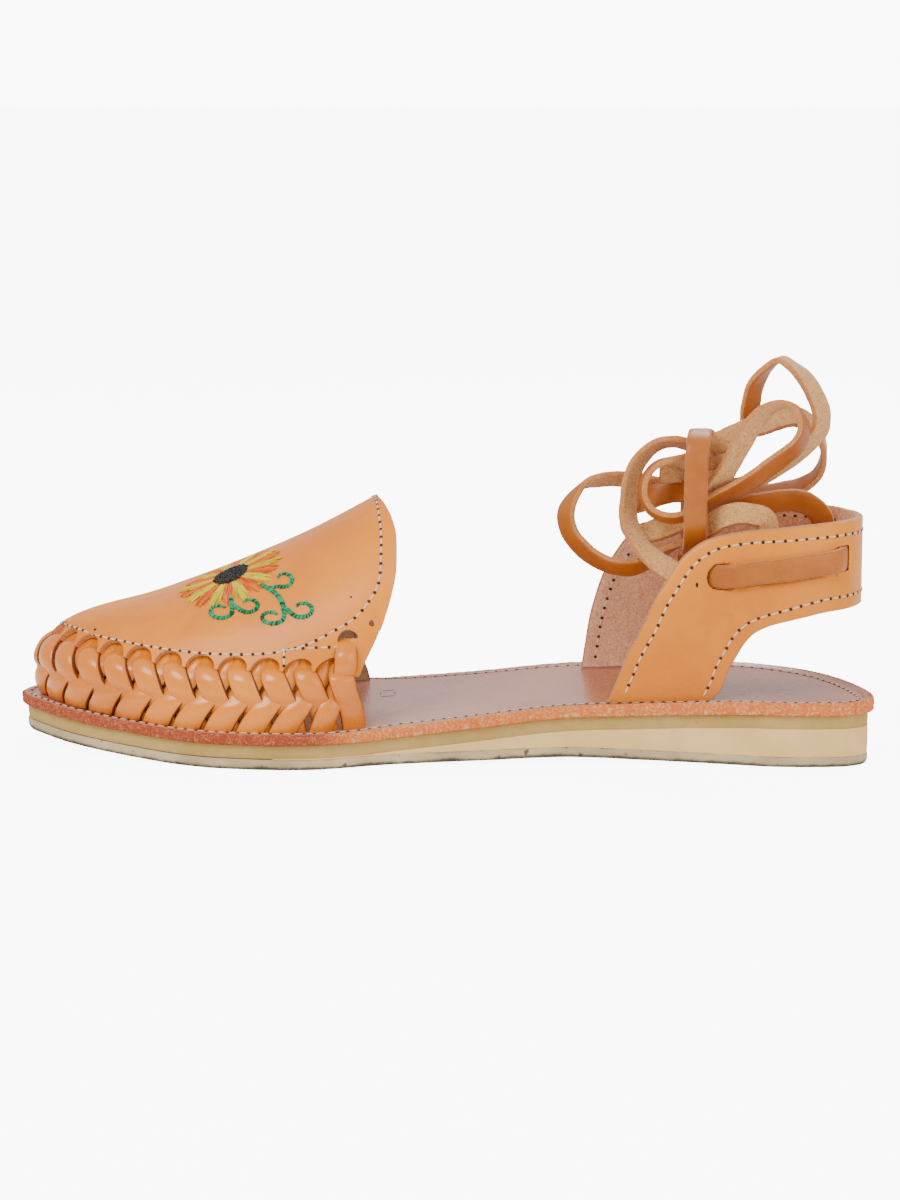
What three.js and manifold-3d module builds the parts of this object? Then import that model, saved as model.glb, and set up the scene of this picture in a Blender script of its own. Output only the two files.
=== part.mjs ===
// Huarache sandal, left shoe: layered rubber sole, leather insole, vamp over a plaited wall,
// heel band, and a flat lace wound up over the heel.
// Millimetres, +Z up, toe towards -X, outer side of the foot towards -Y, floor at z = 0.

import * as THREE from 'three';
import { mergeVertices } from 'three/addons/utils/BufferGeometryUtils.js';
import Module from 'manifold-3d';

const wasm = await Module();
wasm.setup();

// Driving dimensions of the footbed and sole
const footbedLength = 247;
const ballWidth = 88.2;
const waistWidth = 71;
const heelWidth = 64;
const toeSpring = 4.2;
const archLift = 2.1;
const outsoleThickness = 3.0;
const wedgeThickness = 7.4;
const midsoleThickness = 3.6;
const insoleThickness = 3.2;
const insoleOverhang = 1.5;
const insoleRim = 2.6;
const insoleCurl = 0.7;
const seam = 0.3;

// Driving dimensions of the vamp and the plaited wall
const featherInset = 4.6;
const vampReach = 104;
const vampThickness = 1.8;
const toeHeight = 26;
const throatHeight = 60.5;
const ridgeShift = 2.5;
const throatLean = 6;
const weaveHeight = 20.5;
const scallopHeight = 3.6;
const scallopWidth = 8.4;
const stripWidth = 7;
const stripThickness = 1.9;
const stripLift = 0.8;
const stripPitch = 9.4;
const outStripReach = 6.3;
const backStripReach = 12.9;
const throatClearance = 0.4;
const strapHeight = 27;
const strapSlotHeight = 3.2;
const strapTopReach = 4;

// Driving dimensions of the heel band
const bandThickness = 2.2;
const bandTop = 49.7;
const bandBackHeight = 25;
const bandOuterReach = 73;
const bandInnerReach = 81;
const bandTopWidth = 41;
const bandClearOfEdge = 2.6;
const bandFootInset = 4.2;
const bandRoundness = 2.4;

// Driving dimensions of the lace
const laceWidth = 6.6;
const laceThickness = 1.8;
const laceClearance = 0.35;
const laceBarLength = 38;
const laceBarFromBack = 4.5;
const laceBarHeight = 39.3;
const laceBarSlope = 0.13;
const laceBarLean = 0.12;
const laceBend = 4.5;
const laceBarTuck = 0.8;
const laceBackRun = 1.5;

// Finishes
const finishes = {
  outsole: { color: 0xb9ad9c, roughness: 0.9, metalness: 0 },
  wedge: { color: 0xc9b48d, roughness: 0.85, metalness: 0 },
  midsole: { color: 0xcdab78, roughness: 0.85, metalness: 0 },
  insole: { color: 0xb0673f, roughness: 0.35, metalness: 0 },
  leather: { color: 0xd98a45, roughness: 0.35, metalness: 0 },
  lace: { color: 0xbf7238, roughness: 0.5, metalness: 0 },
};

// Outline of the footbed seen from above, from the toe along the outer side to the heel and back:
// along is a share of the length from the toe, across a share of half the width that it names
const outlineRows = [
  { along: 0.0, across: -0.07, of: ballWidth },
  { along: 0.008, across: -0.2, of: ballWidth },
  { along: 0.029, across: -0.34, of: ballWidth },
  { along: 0.058, across: -0.49, of: ballWidth },
  { along: 0.11, across: -0.665, of: ballWidth },
  { along: 0.16, across: -0.8, of: ballWidth },
  { along: 0.21, across: -0.905, of: ballWidth },
  { along: 0.26, across: -0.97, of: ballWidth },
  { along: 0.32, across: -1.0, of: ballWidth },
  { along: 0.39, across: -0.965, of: ballWidth },
  { along: 0.46, across: -1.08, of: waistWidth },
  { along: 0.55, across: -0.965, of: waistWidth },
  { along: 0.65, across: -0.9, of: waistWidth },
  { along: 0.75, across: -0.995, of: heelWidth },
  { along: 0.85, across: -1.01, of: heelWidth },
  { along: 0.93, across: -1.01, of: heelWidth },
  { along: 0.972, across: -0.95, of: heelWidth },
  { along: 0.994, across: -0.81, of: heelWidth },
  { along: 1.0, across: -0.56, of: heelWidth },
  { along: 0.99, across: -0.18, of: heelWidth },
  { along: 0.966, across: 0.26, of: heelWidth },
  { along: 0.935, across: 0.6, of: heelWidth },
  { along: 0.892, across: 0.85, of: heelWidth },
  { along: 0.84, across: 0.985, of: heelWidth },
  { along: 0.77, across: 1.04, of: heelWidth },
  { along: 0.69, across: 1.03, of: waistWidth },
  { along: 0.6, across: 1.08, of: waistWidth },
  { along: 0.51, across: 1.115, of: waistWidth },
  { along: 0.43, across: 1.16, of: waistWidth },
  { along: 0.36, across: 0.985, of: ballWidth },
  { along: 0.29, across: 1.0, of: ballWidth },
  { along: 0.22, across: 0.965, of: ballWidth },
  { along: 0.16, across: 0.88, of: ballWidth },
  { along: 0.105, across: 0.745, of: ballWidth },
  { along: 0.06, across: 0.57, of: ballWidth },
  { along: 0.028, across: 0.375, of: ballWidth },
  { along: 0.007, across: 0.15, of: ballWidth },
];
const heelTipRow = 18;

// Lift of the outsole off the floor: shares of the toe spring and of the arch lift
const liftRows = [
  { along: 0.0, toe: 1.0, arch: 0 },
  { along: 0.04, toe: 0.82, arch: 0 },
  { along: 0.09, toe: 0.54, arch: 0 },
  { along: 0.15, toe: 0.28, arch: 0 },
  { along: 0.21, toe: 0.06, arch: 0 },
  { along: 0.25, toe: 0, arch: 0 },
  { along: 0.345, toe: 0, arch: 0 },
  { along: 0.43, toe: 0, arch: 0.38 },
  { along: 0.55, toe: 0, arch: 0.62 },
  { along: 0.65, toe: 0, arch: 1.0 },
  { along: 0.73, toe: 0, arch: 0.72 },
  { along: 0.82, toe: 0, arch: 0.32 },
  { along: 0.895, toe: 0, arch: 0 },
  { along: 1.0, toe: 0, arch: 0 },
];

// Thickness of the heel wedge, as a share of its full thickness
const wedgeRows = [
  { along: 0.42, share: 0 },
  { along: 0.5, share: 0.19 },
  { along: 0.6, share: 0.45 },
  { along: 0.7, share: 0.66 },
  { along: 0.8, share: 0.88 },
  { along: 0.88, share: 1.0 },
  { along: 1.0, share: 1.0 },
];

// Section of the vamp from its foot to the ridge: rise is a share of its height there, inward a
// share of the way from foot to ridge, at the sides and round the toe, and lean a share of the
// throat's lean
const archRows = [
  { t: 0.0, rise: 0.0, side: 0.0, toe: 0.0, lean: -1.0 },
  { t: 0.11, rise: 0.12, side: -0.015, toe: -0.06, lean: -0.82 },
  { t: 0.22, rise: 0.26, side: -0.01, toe: -0.1, lean: -0.42 },
  { t: 0.34, rise: 0.42, side: 0.04, toe: -0.1, lean: 0.25 },
  { t: 0.46, rise: 0.58, side: 0.135, toe: -0.02, lean: 0.75 },
  { t: 0.57, rise: 0.73, side: 0.27, toe: 0.13, lean: 1.0 },
  { t: 0.68, rise: 0.86, side: 0.45, toe: 0.35, lean: 0.95 },
  { t: 0.8, rise: 0.95, side: 0.66, toe: 0.66, lean: 0.6 },
  { t: 0.9, rise: 0.99, side: 0.84, toe: 0.88, lean: 0.25 },
  { t: 1.0, rise: 1.0, side: 1.0, toe: 1.0, lean: 0.0 },
];

// The ridge of the vamp, for each share of the way from the toe to the throat: how far its point
// lies from the toe as a share of the vamp's reach, and its rise from toe to throat height
const ridgeRows = [
  { share: 0.0, along: 0.22, rise: 0.0 },
  { share: 0.15, along: 0.27, rise: 0.055 },
  { share: 0.3, along: 0.36, rise: 0.14 },
  { share: 0.45, along: 0.475, rise: 0.285 },
  { share: 0.6, along: 0.61, rise: 0.45 },
  { share: 0.75, along: 0.75, rise: 0.63 },
  { share: 0.88, along: 0.88, rise: 0.82 },
  { share: 1.0, along: 1.0, rise: 1.0 },
];

// Heel band, from its foot to the middle of the back: places of its upper and lower edge, back as
// a share of its reach and rise as a share of its top height
const bandOuterRows = [
  { topBack: 0.0, topRise: 0.0, lowBack: 0.397, lowRise: 0.0 },
  { topBack: 0.03, topRise: 0.1, lowBack: 0.438, lowRise: 0.054 },
  { topBack: 0.075, topRise: 0.26, lowBack: 0.468, lowRise: 0.169 },
  { topBack: 0.13, topRise: 0.41, lowBack: 0.5, lowRise: 0.25 },
  { topBack: 0.176, topRise: 0.557, lowBack: 0.53, lowRise: 0.322 },
  { topBack: 0.223, topRise: 0.672, lowBack: 0.57, lowRise: 0.38 },
  { topBack: 0.29, topRise: 0.81, lowBack: 0.635, lowRise: 0.425 },
  { topBack: 0.387, topRise: 0.905, lowBack: 0.7, lowRise: 0.449 },
  { topBack: 0.52, topRise: 0.945, lowBack: 0.76, lowRise: 0.468 },
  { topBack: 0.66, topRise: 0.968, lowBack: 0.82, lowRise: 0.485 },
  { topBack: 0.78, topRise: 0.985, lowBack: 0.87, lowRise: 0.494 },
  { topBack: 0.89, topRise: 0.995, lowBack: 0.925, lowRise: 0.497 },
  { topBack: 0.97, topRise: 1.0, lowBack: 0.975, lowRise: 0.5 },
];
const bandInnerRows = [
  { topBack: 0.0, topRise: 0.0, lowBack: 0.397, lowRise: 0.0 },
  { topBack: 0.012, topRise: 0.13, lowBack: 0.435, lowRise: 0.054 },
  { topBack: 0.028, topRise: 0.3, lowBack: 0.468, lowRise: 0.169 },
  { topBack: 0.05, topRise: 0.443, lowBack: 0.5, lowRise: 0.25 },
  { topBack: 0.079, topRise: 0.584, lowBack: 0.53, lowRise: 0.322 },
  { topBack: 0.125, topRise: 0.72, lowBack: 0.57, lowRise: 0.38 },
  { topBack: 0.19, topRise: 0.85, lowBack: 0.635, lowRise: 0.425 },
  { topBack: 0.29, topRise: 0.93, lowBack: 0.7, lowRise: 0.449 },
  { topBack: 0.44, topRise: 0.97, lowBack: 0.76, lowRise: 0.468 },
  { topBack: 0.6, topRise: 0.99, lowBack: 0.82, lowRise: 0.485 },
  { topBack: 0.76, topRise: 1.01, lowBack: 0.87, lowRise: 0.494 },
  { topBack: 0.89, topRise: 1.01, lowBack: 0.925, lowRise: 0.497 },
  { topBack: 0.97, topRise: 1.0, lowBack: 0.975, lowRise: 0.5 },
];

// Tools for tables, closed meshes and cuts

// Smooth curve through two columns of a table, level beyond its ends
function curveOf(rows, key, value) {
  const xs = rows.map((row) => row[key]);
  const ys = rows.map((row) => row[value]);
  const last = xs.length - 1;
  const rate = (i) => (ys[i + 1] - ys[i]) / (xs[i + 1] - xs[i]);
  const slopes = xs.map((_, i) => {
    if (i === 0) return rate(0);
    if (i === last) return rate(last - 1);
    const before = rate(i - 1);
    const after = rate(i);
    return before * after <= 0 ? 0 : (2 * before * after) / (before + after);
  });
  return (x) => {
    if (x <= xs[0]) return ys[0];
    if (x >= xs[last]) return ys[last];
    let i = 0;
    while (x > xs[i + 1]) i += 1;
    const span = xs[i + 1] - xs[i];
    const u = (x - xs[i]) / span;
    const start = (1 + 2 * u) * (1 - u) ** 2 * ys[i] + u * (1 - u) ** 2 * span * slopes[i];
    const end = u * u * (3 - 2 * u) * ys[i + 1] - u * u * (1 - u) * span * slopes[i + 1];
    return start + end;
  };
}

// Place where a rising function reaches a value
function solve(rising, value, low, high) {
  let from = low;
  let to = high;
  for (let step = 0; step < 40; step += 1) {
    const middle = (from + to) / 2;
    if (rising(middle) < value) from = middle;
    else to = middle;
  }
  return (from + to) / 2;
}

const mix = THREE.MathUtils.lerp;

// A mesh from triangles given as points, with equal points joined and flat triangles dropped,
// turned so that its faces point out
function weld(triangles) {
  const positions = [];
  let volume = 0;
  const side = new THREE.Vector3();
  const other = new THREE.Vector3();
  for (const [a, b, c] of triangles) {
    side.subVectors(b, a).cross(other.subVectors(c, a));
    if (side.length() < 1e-7) continue;
    positions.push(...a.toArray(), ...b.toArray(), ...c.toArray());
    volume += a.dot(side.crossVectors(b, c));
  }
  const loose = new THREE.BufferGeometry();
  loose.setAttribute('position', new THREE.Float32BufferAttribute(positions, 3));
  const merged = mergeVertices(loose, 1e-4);
  if (volume < 0) merged.getIndex().array.reverse();
  return merged;
}

const quad = (a, b, c, d) => [[a, b, c], [a, c, d]];

// Triangles over a grid of points whose rows follow each other
function skin(rows) {
  const triangles = [];
  for (let i = 0; i + 1 < rows.length; i += 1) {
    for (let j = 0; j + 1 < rows[i].length; j += 1) {
      triangles.push(...quad(rows[i][j], rows[i][j + 1], rows[i + 1][j + 1], rows[i + 1][j]));
    }
  }
  return triangles;
}

// A closed body through closed sections; an end that is folded flat needs no face
function loft(sections, firstOpen = true, lastOpen = true) {
  const rows = sections.map((section) => [...section, section[0]]);
  const triangles = skin(rows);
  const first = sections[0];
  const last = sections[sections.length - 1];
  for (let j = 1; j + 1 < first.length; j += 1) {
    if (firstOpen) triangles.push([first[0], first[j + 1], first[j]]);
    if (lastOpen) triangles.push([last[0], last[j], last[j + 1]]);
  }
  return weld(triangles);
}

// A closed wall between two grids of points; the first rows may be folded onto themselves
function wallBetween(outer, inner, firstFolded = false) {
  const triangles = [...skin(outer), ...skin(inner).map(([a, b, c]) => [a, c, b])];
  const end = outer.length - 1;
  const edge = outer[0].length - 1;
  for (let i = 0; i < end; i += 1) {
    triangles.push(...quad(outer[i][0], outer[i + 1][0], inner[i + 1][0], inner[i][0]));
    triangles.push(...quad(outer[i + 1][edge], outer[i][edge], inner[i][edge], inner[i + 1][edge]));
  }
  for (let j = 0; j < edge; j += 1) {
    if (!firstFolded) {
      triangles.push(...quad(outer[0][j + 1], outer[0][j], inner[0][j], inner[0][j + 1]));
    }
    triangles.push(...quad(outer[end][j], outer[end][j + 1], inner[end][j + 1], inner[end][j]));
  }
  return weld(triangles);
}

function toSolid(geometry) {
  const bare = geometry.clone();
  bare.deleteAttribute('normal');
  bare.deleteAttribute('uv');
  const merged = mergeVertices(bare, 1e-4);
  return new wasm.Manifold(
    new wasm.Mesh({
      numProp: 3,
      vertProperties: Float32Array.from(merged.getAttribute('position').array),
      triVerts: Uint32Array.from(merged.getIndex().array),
    }),
  );
}

function toGeometry(solid) {
  const mesh = solid.getMesh();
  const geometry = new THREE.BufferGeometry();
  geometry.setAttribute('position', new THREE.BufferAttribute(Float32Array.from(mesh.vertProperties), 3));
  geometry.setIndex(Array.from(mesh.triVerts));
  return geometry;
}

function namedMesh(name, geometry, finish) {
  const mesh = new THREE.Mesh(geometry, new THREE.MeshStandardMaterial(finish));
  mesh.name = name;
  return mesh;
}

// The outline and the heights of the sole

const toeX = -footbedLength / 2;
const along = (share) => toeX + share * footbedLength;
const shareAt = (x) => (x - toeX) / footbedLength;

const outline = new THREE.CatmullRomCurve3(
  outlineRows.map((row) => new THREE.Vector3(along(row.along), (row.across * row.of) / 2, 0)),
  true,
);
const heelTurn = heelTipRow / outlineRows.length;

// Point of the outline moved inwards; turn runs from 0 at the toe over the outer side to 1
function outlinePoint(turn, inset) {
  const t = ((turn % 1) + 1) % 1;
  const point = outline.getPoint(t);
  const ahead = outline.getTangent(t);
  return new THREE.Vector3(point.x - ahead.y * inset, point.y + ahead.x * inset, 0);
}

const toeShare = curveOf(liftRows, 'along', 'toe');
const archShare = curveOf(liftRows, 'along', 'arch');
const wedgeShare = curveOf(wedgeRows, 'along', 'share');
const lift = (x) => toeSpring * toeShare(shareAt(x)) + archLift * archShare(shareAt(x));
const wedgeGap = (x) => (wedgeThickness + seam) * wedgeShare(shareAt(x));
const outsoleTop = (x) => lift(x) + outsoleThickness;
const midsoleBottom = (x) => outsoleTop(x) + seam + wedgeGap(x);
const midsoleTop = (x) => midsoleBottom(x) + midsoleThickness;
const insoleBottom = (x) => midsoleTop(x) + seam;
const insoleTop = (x) => insoleBottom(x) + insoleThickness;

const soleStations = 36;

// A layer of the sole: each line of its section has an inset from the footbed's edge and a height.
// Sections run from the toe to the heel, folded flat at both tips
function soleLayer(lines, from = 0) {
  const place = (turn, line) => {
    const point = outlinePoint(turn, line.inset);
    point.z = line.height(point.x);
    return point;
  };
  const sections = [];
  for (let i = from; i <= soleStations; i += 1) {
    const share = i / soleStations;
    const outer = lines.map((line) => place(share * heelTurn, line));
    const inner = lines.map((line) => place(1 - share * (1 - heelTurn), line));
    sections.push([...outer, ...inner.reverse()]);
  }
  return loft(sections, from > 0, false);
}

const layerLines = (bottom, top) => [
  { inset: insoleOverhang, height: bottom },
  { inset: insoleOverhang, height: top },
];

function wedgeFirstStation() {
  const turnOf = (i) => (i / soleStations) * heelTurn;
  const thinEnd = 2 * seam;
  let i = 0;
  while (wedgeGap(outlinePoint(turnOf(i), insoleOverhang).x) - seam < thinEnd) i += 1;
  return i;
}

const insoleLines = [
  { inset: 0, height: insoleBottom },
  { inset: 0, height: (x) => insoleTop(x) + insoleCurl * wedgeShare(shareAt(x)) },
  { inset: insoleRim, height: insoleTop },
];

// The vamp and the plaited wall: one domed form over the toes

const throatX = toeX + vampReach;
const crossesThroat = (turn) => outlinePoint(turn, featherInset).x;
const throatTurnOuter = solve(crossesThroat, throatX, 0.05, 0.35);
const throatTurnInner = 1 - solve((turn) => crossesThroat(1 - turn), throatX, 0.05, 0.35);

// Feather line: where the wall stands on the insole, measured along itself from the outer throat
// round the toe to the inner throat
function measureFeather() {
  const steps = 240;
  const turnStart = throatTurnOuter;
  const turnEnd = throatTurnInner - 1;
  const turns = [];
  const lengths = [0];
  for (let i = 0; i <= steps; i += 1) {
    turns.push(mix(turnStart, turnEnd, i / steps));
    if (i > 0) {
      const here = outlinePoint(turns[i], featherInset);
      lengths.push(lengths[i - 1] + here.distanceTo(outlinePoint(turns[i - 1], featherInset)));
    }
  }
  return { turns, lengths, total: lengths[steps] };
}
const feather = measureFeather();
const toeLength = feather.lengths[feather.turns.findIndex((turn) => turn <= 0)];

function featherTurn(length) {
  const { turns, lengths } = feather;
  const last = lengths.length - 1;
  let i = 0;
  while (i < last - 1 && lengths[i + 1] < length) i += 1;
  const u = (length - lengths[i]) / (lengths[i + 1] - lengths[i]);
  return turns[i] + u * (turns[i + 1] - turns[i]);
}

const archRise = curveOf(archRows, 't', 'rise');
const archSide = curveOf(archRows, 't', 'side');
const archToe = curveOf(archRows, 't', 'toe');
const archLean = curveOf(archRows, 't', 'lean');
const ridgeAlong = curveOf(ridgeRows, 'share', 'along');
const ridgeRise = curveOf(ridgeRows, 'share', 'rise');

// Share of the way from the toe to the throat at a length along the feather line, and its side
function placeAt(length) {
  if (length < toeLength) return { side: -1, share: 1 - length / toeLength };
  return { side: 1, share: (length - toeLength) / (feather.total - toeLength) };
}

function lengthAt(side, share) {
  return side < 0 ? toeLength * (1 - share) : toeLength + share * (feather.total - toeLength);
}

function ridgePoint(share) {
  const x = toeX + featherInset + (vampReach - featherInset) * ridgeAlong(share);
  const y = ridgeShift * share;
  const z = insoleTop(x) + seam + mix(toeHeight, throatHeight, ridgeRise(share));
  return new THREE.Vector3(x, y, z);
}

// Point of the dome's middle surface at a length along its foot and a place t up its section
function domeMiddle(length, t) {
  const { share } = placeAt(length);
  const foot = outlinePoint(featherTurn(length), featherInset);
  foot.z = insoleTop(foot.x) + seam;
  const ridge = ridgePoint(share);
  const sideness = THREE.MathUtils.smoothstep(share, 0.1, 0.75);
  const inward = mix(archToe(t), archSide(t), sideness);
  const x = mix(foot.x, ridge.x, inward) + throatLean * archLean(t) * share ** 3;
  const y = mix(foot.y, ridge.y, inward);
  return new THREE.Vector3(x, y, mix(foot.z, ridge.z, archRise(t)));
}

function domeNormal(length, t) {
  const step = 0.02;
  const near = Math.min(Math.max(t, step), 1 - step);
  const a = domeMiddle(length - 1, near);
  const b = domeMiddle(length + 1, near);
  const low = domeMiddle(length, near - step);
  const high = domeMiddle(length, near + step);
  return new THREE.Vector3().crossVectors(high.sub(low), b.sub(a)).normalize();
}

function domePoint(length, t, out) {
  return domeMiddle(length, t).addScaledVector(domeNormal(length, t), out);
}

// Place up the section that lies a given height above the foot
function heightPlace(length, height) {
  const { share } = placeAt(length);
  const foot = outlinePoint(featherTurn(length), featherInset);
  const full = ridgePoint(share).z - insoleTop(foot.x) - seam;
  return solve(archRise, height / full, 0, 1);
}

// The vamp: arches from the outer edge over the ridge to the inner edge, from the toe to the throat
const vampArches = 14;
const vampRows = 5;
const vampEdgeHeight = weaveHeight - scallopHeight;

function vampArch(share, out) {
  const half = (side) => {
    const length = lengthAt(side, share);
    const low = heightPlace(length, vampEdgeHeight);
    const points = [];
    for (let j = 0; j < vampRows; j += 1) {
      points.push(domePoint(length, mix(low, 1, j / vampRows), out));
    }
    return points;
  };
  const crest = ridgePoint(share);
  const normal = domeNormal(lengthAt(-1, share), 1).add(domeNormal(lengthAt(1, share), 1)).normalize();
  return [...half(-1), crest.addScaledVector(normal, out), ...half(1).reverse()];
}

function vampShell() {
  const outer = [];
  const inner = [];
  for (let i = 0; i <= vampArches; i += 1) {
    outer.push(vampArch(i / vampArches, vampThickness / 2));
    inner.push(vampArch(i / vampArches, -vampThickness / 2));
  }
  return wallBetween(outer, inner, true);
}

// Places of the strips' slots along the feather line: an even pitch between the two throat ends
const firstSlot = outStripReach + stripWidth / 2 + throatClearance;
const lastSlot = feather.total - backStripReach - stripWidth / 2 - throatClearance;
const slotCount = Math.round((lastSlot - firstSlot) / stripPitch) + 1;
const slotLengths = Array.from({ length: slotCount }, (_, k) => mix(firstSlot, lastSlot, k / (slotCount - 1)));

const upSign = (up) => (up.z < 0 ? -1 : 1);

// Prism through the vamp's wall, drawn in the wall's plane round a place along and above the foot
function wallCutter(length, height, outlinePoints, depth) {
  const t = heightPlace(length, height);
  const centre = domeMiddle(length, t);
  const normal = domeNormal(length, t);
  const across = domeMiddle(length + 1, t).sub(domeMiddle(length - 1, t));
  const up = new THREE.Vector3().crossVectors(across, normal).normalize();
  across.crossVectors(normal, up).normalize();
  const corner = (point, out) => centre.clone().addScaledVector(across, point.x)
    .addScaledVector(up, point.y * upSign(up)).addScaledVector(normal, out);
  return toSolid(loft([-depth, depth].map((out) => outlinePoints.map((point) => corner(point, out)))));
}

const scallopOutline = [
  new THREE.Vector2(-scallopWidth / 2, -scallopHeight),
  new THREE.Vector2(-scallopWidth / 2, 0.1 * scallopHeight),
  new THREE.Vector2(-0.36 * scallopWidth, 0.65 * scallopHeight),
  new THREE.Vector2(0, scallopHeight),
  new THREE.Vector2(0.36 * scallopWidth, 0.65 * scallopHeight),
  new THREE.Vector2(scallopWidth / 2, 0.1 * scallopHeight),
  new THREE.Vector2(scallopWidth / 2, -scallopHeight),
];
const strapSlotOutline = [
  new THREE.Vector2(-0.45 * stripWidth, 0),
  new THREE.Vector2(-0.3 * stripWidth, strapSlotHeight),
  new THREE.Vector2(0.3 * stripWidth, strapSlotHeight),
  new THREE.Vector2(0.45 * stripWidth, 0),
];

function vamp() {
  let solid = toSolid(vampShell());
  for (const length of slotLengths) {
    solid = solid.subtract(wallCutter(length, vampEdgeHeight, scallopOutline, 2 * vampThickness));
  }
  for (const length of [strapTopReach, feather.total - strapTopReach]) {
    solid = solid.subtract(wallCutter(length, strapHeight, strapSlotOutline, 2 * vampThickness));
  }
  return toGeometry(solid);
}

// Strips of the plaited wall at each height: reach is the share of the way from its slot to its foot
// and wide the share of its width; it lies out of the wall's middle by shares of the strip's lift, of
// its way behind the vamp and of its way over the vamp
const behindVamp = -(vampThickness + stripThickness) / 2 - 2 * seam;
const overVamp = (vampThickness + stripThickness) / 2 + seam;
const outStripRows = [
  { height: 0.0, reach: 1.0, wide: 1.0, lift: -1, behind: 0, over: 0 },
  { height: 0.36, reach: 0.58, wide: 1.0, lift: 1, behind: 0, over: 0 },
  { height: 0.62, reach: 0.31, wide: 1.0, lift: 1, behind: 0, over: 0 },
  { height: 0.84, reach: 0.26, wide: 0.8, lift: 0, behind: 1, over: 0 },
  { height: 1.0, reach: 0.34, wide: 0.6, lift: 0, behind: 1, over: 0 },
];
const backStripRows = [
  { height: 0.0, reach: 1.0, wide: 1.0, lift: 1, behind: 0, over: 0 },
  { height: 0.17, reach: 0.86, wide: 1.0, lift: 1, behind: 0, over: 0 },
  { height: 0.42, reach: 0.56, wide: 1.0, lift: -1, behind: 0, over: 0 },
  { height: 1.0, reach: 0.18, wide: 0.6, lift: 0, behind: 1.15, over: 0 },
];
const outerStrapRows = [
  { height: 0.0, reach: 1.0, wide: 1.0, lift: 1, behind: 0, over: 0 },
  { height: 0.13, reach: 0.86, wide: 1.0, lift: 1, behind: 0, over: 0 },
  { height: 0.3, reach: 0.62, wide: 1.0, lift: -1, behind: 0, over: 0 },
  { height: 0.46, reach: 0.34, wide: 0.95, lift: 0, behind: 0, over: 0.2 },
  { height: 0.58, reach: 0.16, wide: 0.9, lift: 0, behind: 0, over: 1 },
  { height: 1.0, reach: 0.0, wide: 0.9, lift: 0, behind: 0, over: 1 },
];
const innerStrapRows = [
  { height: 0.0, reach: 1.0, wide: 1.0, lift: -1, behind: 0, over: 0 },
  { height: 0.11, reach: 0.84, wide: 1.0, lift: -1, behind: 0, over: 0 },
  { height: 0.3, reach: 0.56, wide: 1.0, lift: 1, behind: 0, over: 0 },
  { height: 0.46, reach: 0.32, wide: 0.95, lift: 1, behind: 0, over: 0 },
  { height: 0.58, reach: 0.16, wide: 0.9, lift: 0, behind: 0, over: 1 },
  { height: 1.0, reach: 0.0, wide: 0.9, lift: 0, behind: 0, over: 1 },
];

// One strip of the wall, cut level at both ends, from its foot to its top
function strip(rows, footLength, topLength, fullHeight) {
  const slope = Math.hypot(topLength - footLength, fullHeight) / fullHeight;
  const sections = rows.map((row) => {
    const height = row.height * fullHeight;
    const middle = mix(topLength, footLength, row.reach);
    const half = (row.wide * stripWidth * slope) / 2;
    const out = row.lift * stripLift + row.behind * behindVamp + row.over * overVamp;
    const corner = (shift, face) => {
      const length = middle + shift * half;
      const point = domePoint(length, heightPlace(length, height), out + (face * stripThickness) / 2);
      if (row.height === 0) point.z = insoleTop(point.x) + seam;
      return point;
    };
    return [corner(-1, -1), corner(-1, 1), corner(1, 1), corner(1, -1)];
  });
  return toSolid(loft(sections));
}

function wovenWall() {
  const strips = [];
  for (const slot of slotLengths) {
    strips.push(strip(outStripRows, slot - outStripReach, slot, weaveHeight));
    strips.push(strip(backStripRows, slot + backStripReach, slot, weaveHeight));
  }
  const outerFoot = firstSlot - stripPitch + backStripReach;
  strips.push(strip(outerStrapRows, outerFoot, strapTopReach, strapHeight));
  const innerFoot = lastSlot + stripPitch - outStripReach;
  strips.push(strip(innerStrapRows, innerFoot, feather.total - strapTopReach, strapHeight));
  return toGeometry(strips.reduce((whole, next) => whole.add(next)));
}

// The heel band
const bandBackX = toeX + footbedLength - bandClearOfEdge;
const bandReach = (side) => (side < 0 ? bandOuterReach : bandInnerReach);

// Reach of the footbed's edge to one side at a place along it
function edgeReach(side, x) {
  const turn = side < 0
    ? solve((t) => outlinePoint(t, 0).x, x, 0.1, heelTurn - 0.06)
    : 1 - solve((t) => outlinePoint(1 - t, 0).x, x, 0.1, 1 - heelTurn - 0.06);
  return Math.abs(outlinePoint(turn, 0).y);
}

const bandFootReach = (side) => edgeReach(side, bandBackX - 0.8 * bandReach(side)) - bandFootInset;
const bandFootOuter = bandFootReach(-1);
const bandFootInner = bandFootReach(1);

// Point of the band's outer face moved out, at a place back along it and up it
function bandPoint(side, back, rise, out) {
  const x = bandBackX - (1 - back) * bandReach(side);
  const z = insoleTop(Math.min(x, bandBackX)) + seam + rise * bandTop;
  const foot = side < 0 ? bandFootOuter : bandFootInner;
  const half = mix(foot, bandTopWidth / 2, Math.max(rise, 0) ** 1.4);
  const round = 1.15 * (bandTopWidth / 2 + foot) / 2;
  const u = THREE.MathUtils.clamp((x - (bandBackX - round)) / round, 0, 1);
  const v = (1 - u ** bandRoundness) ** (1 / bandRoundness);
  const normal = new THREE.Vector3(
    u ** (bandRoundness - 1) / round,
    (side * v ** (bandRoundness - 1)) / half,
    0,
  ).normalize();
  return new THREE.Vector3(x, side * half * v, z).addScaledVector(normal, out);
}

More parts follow.
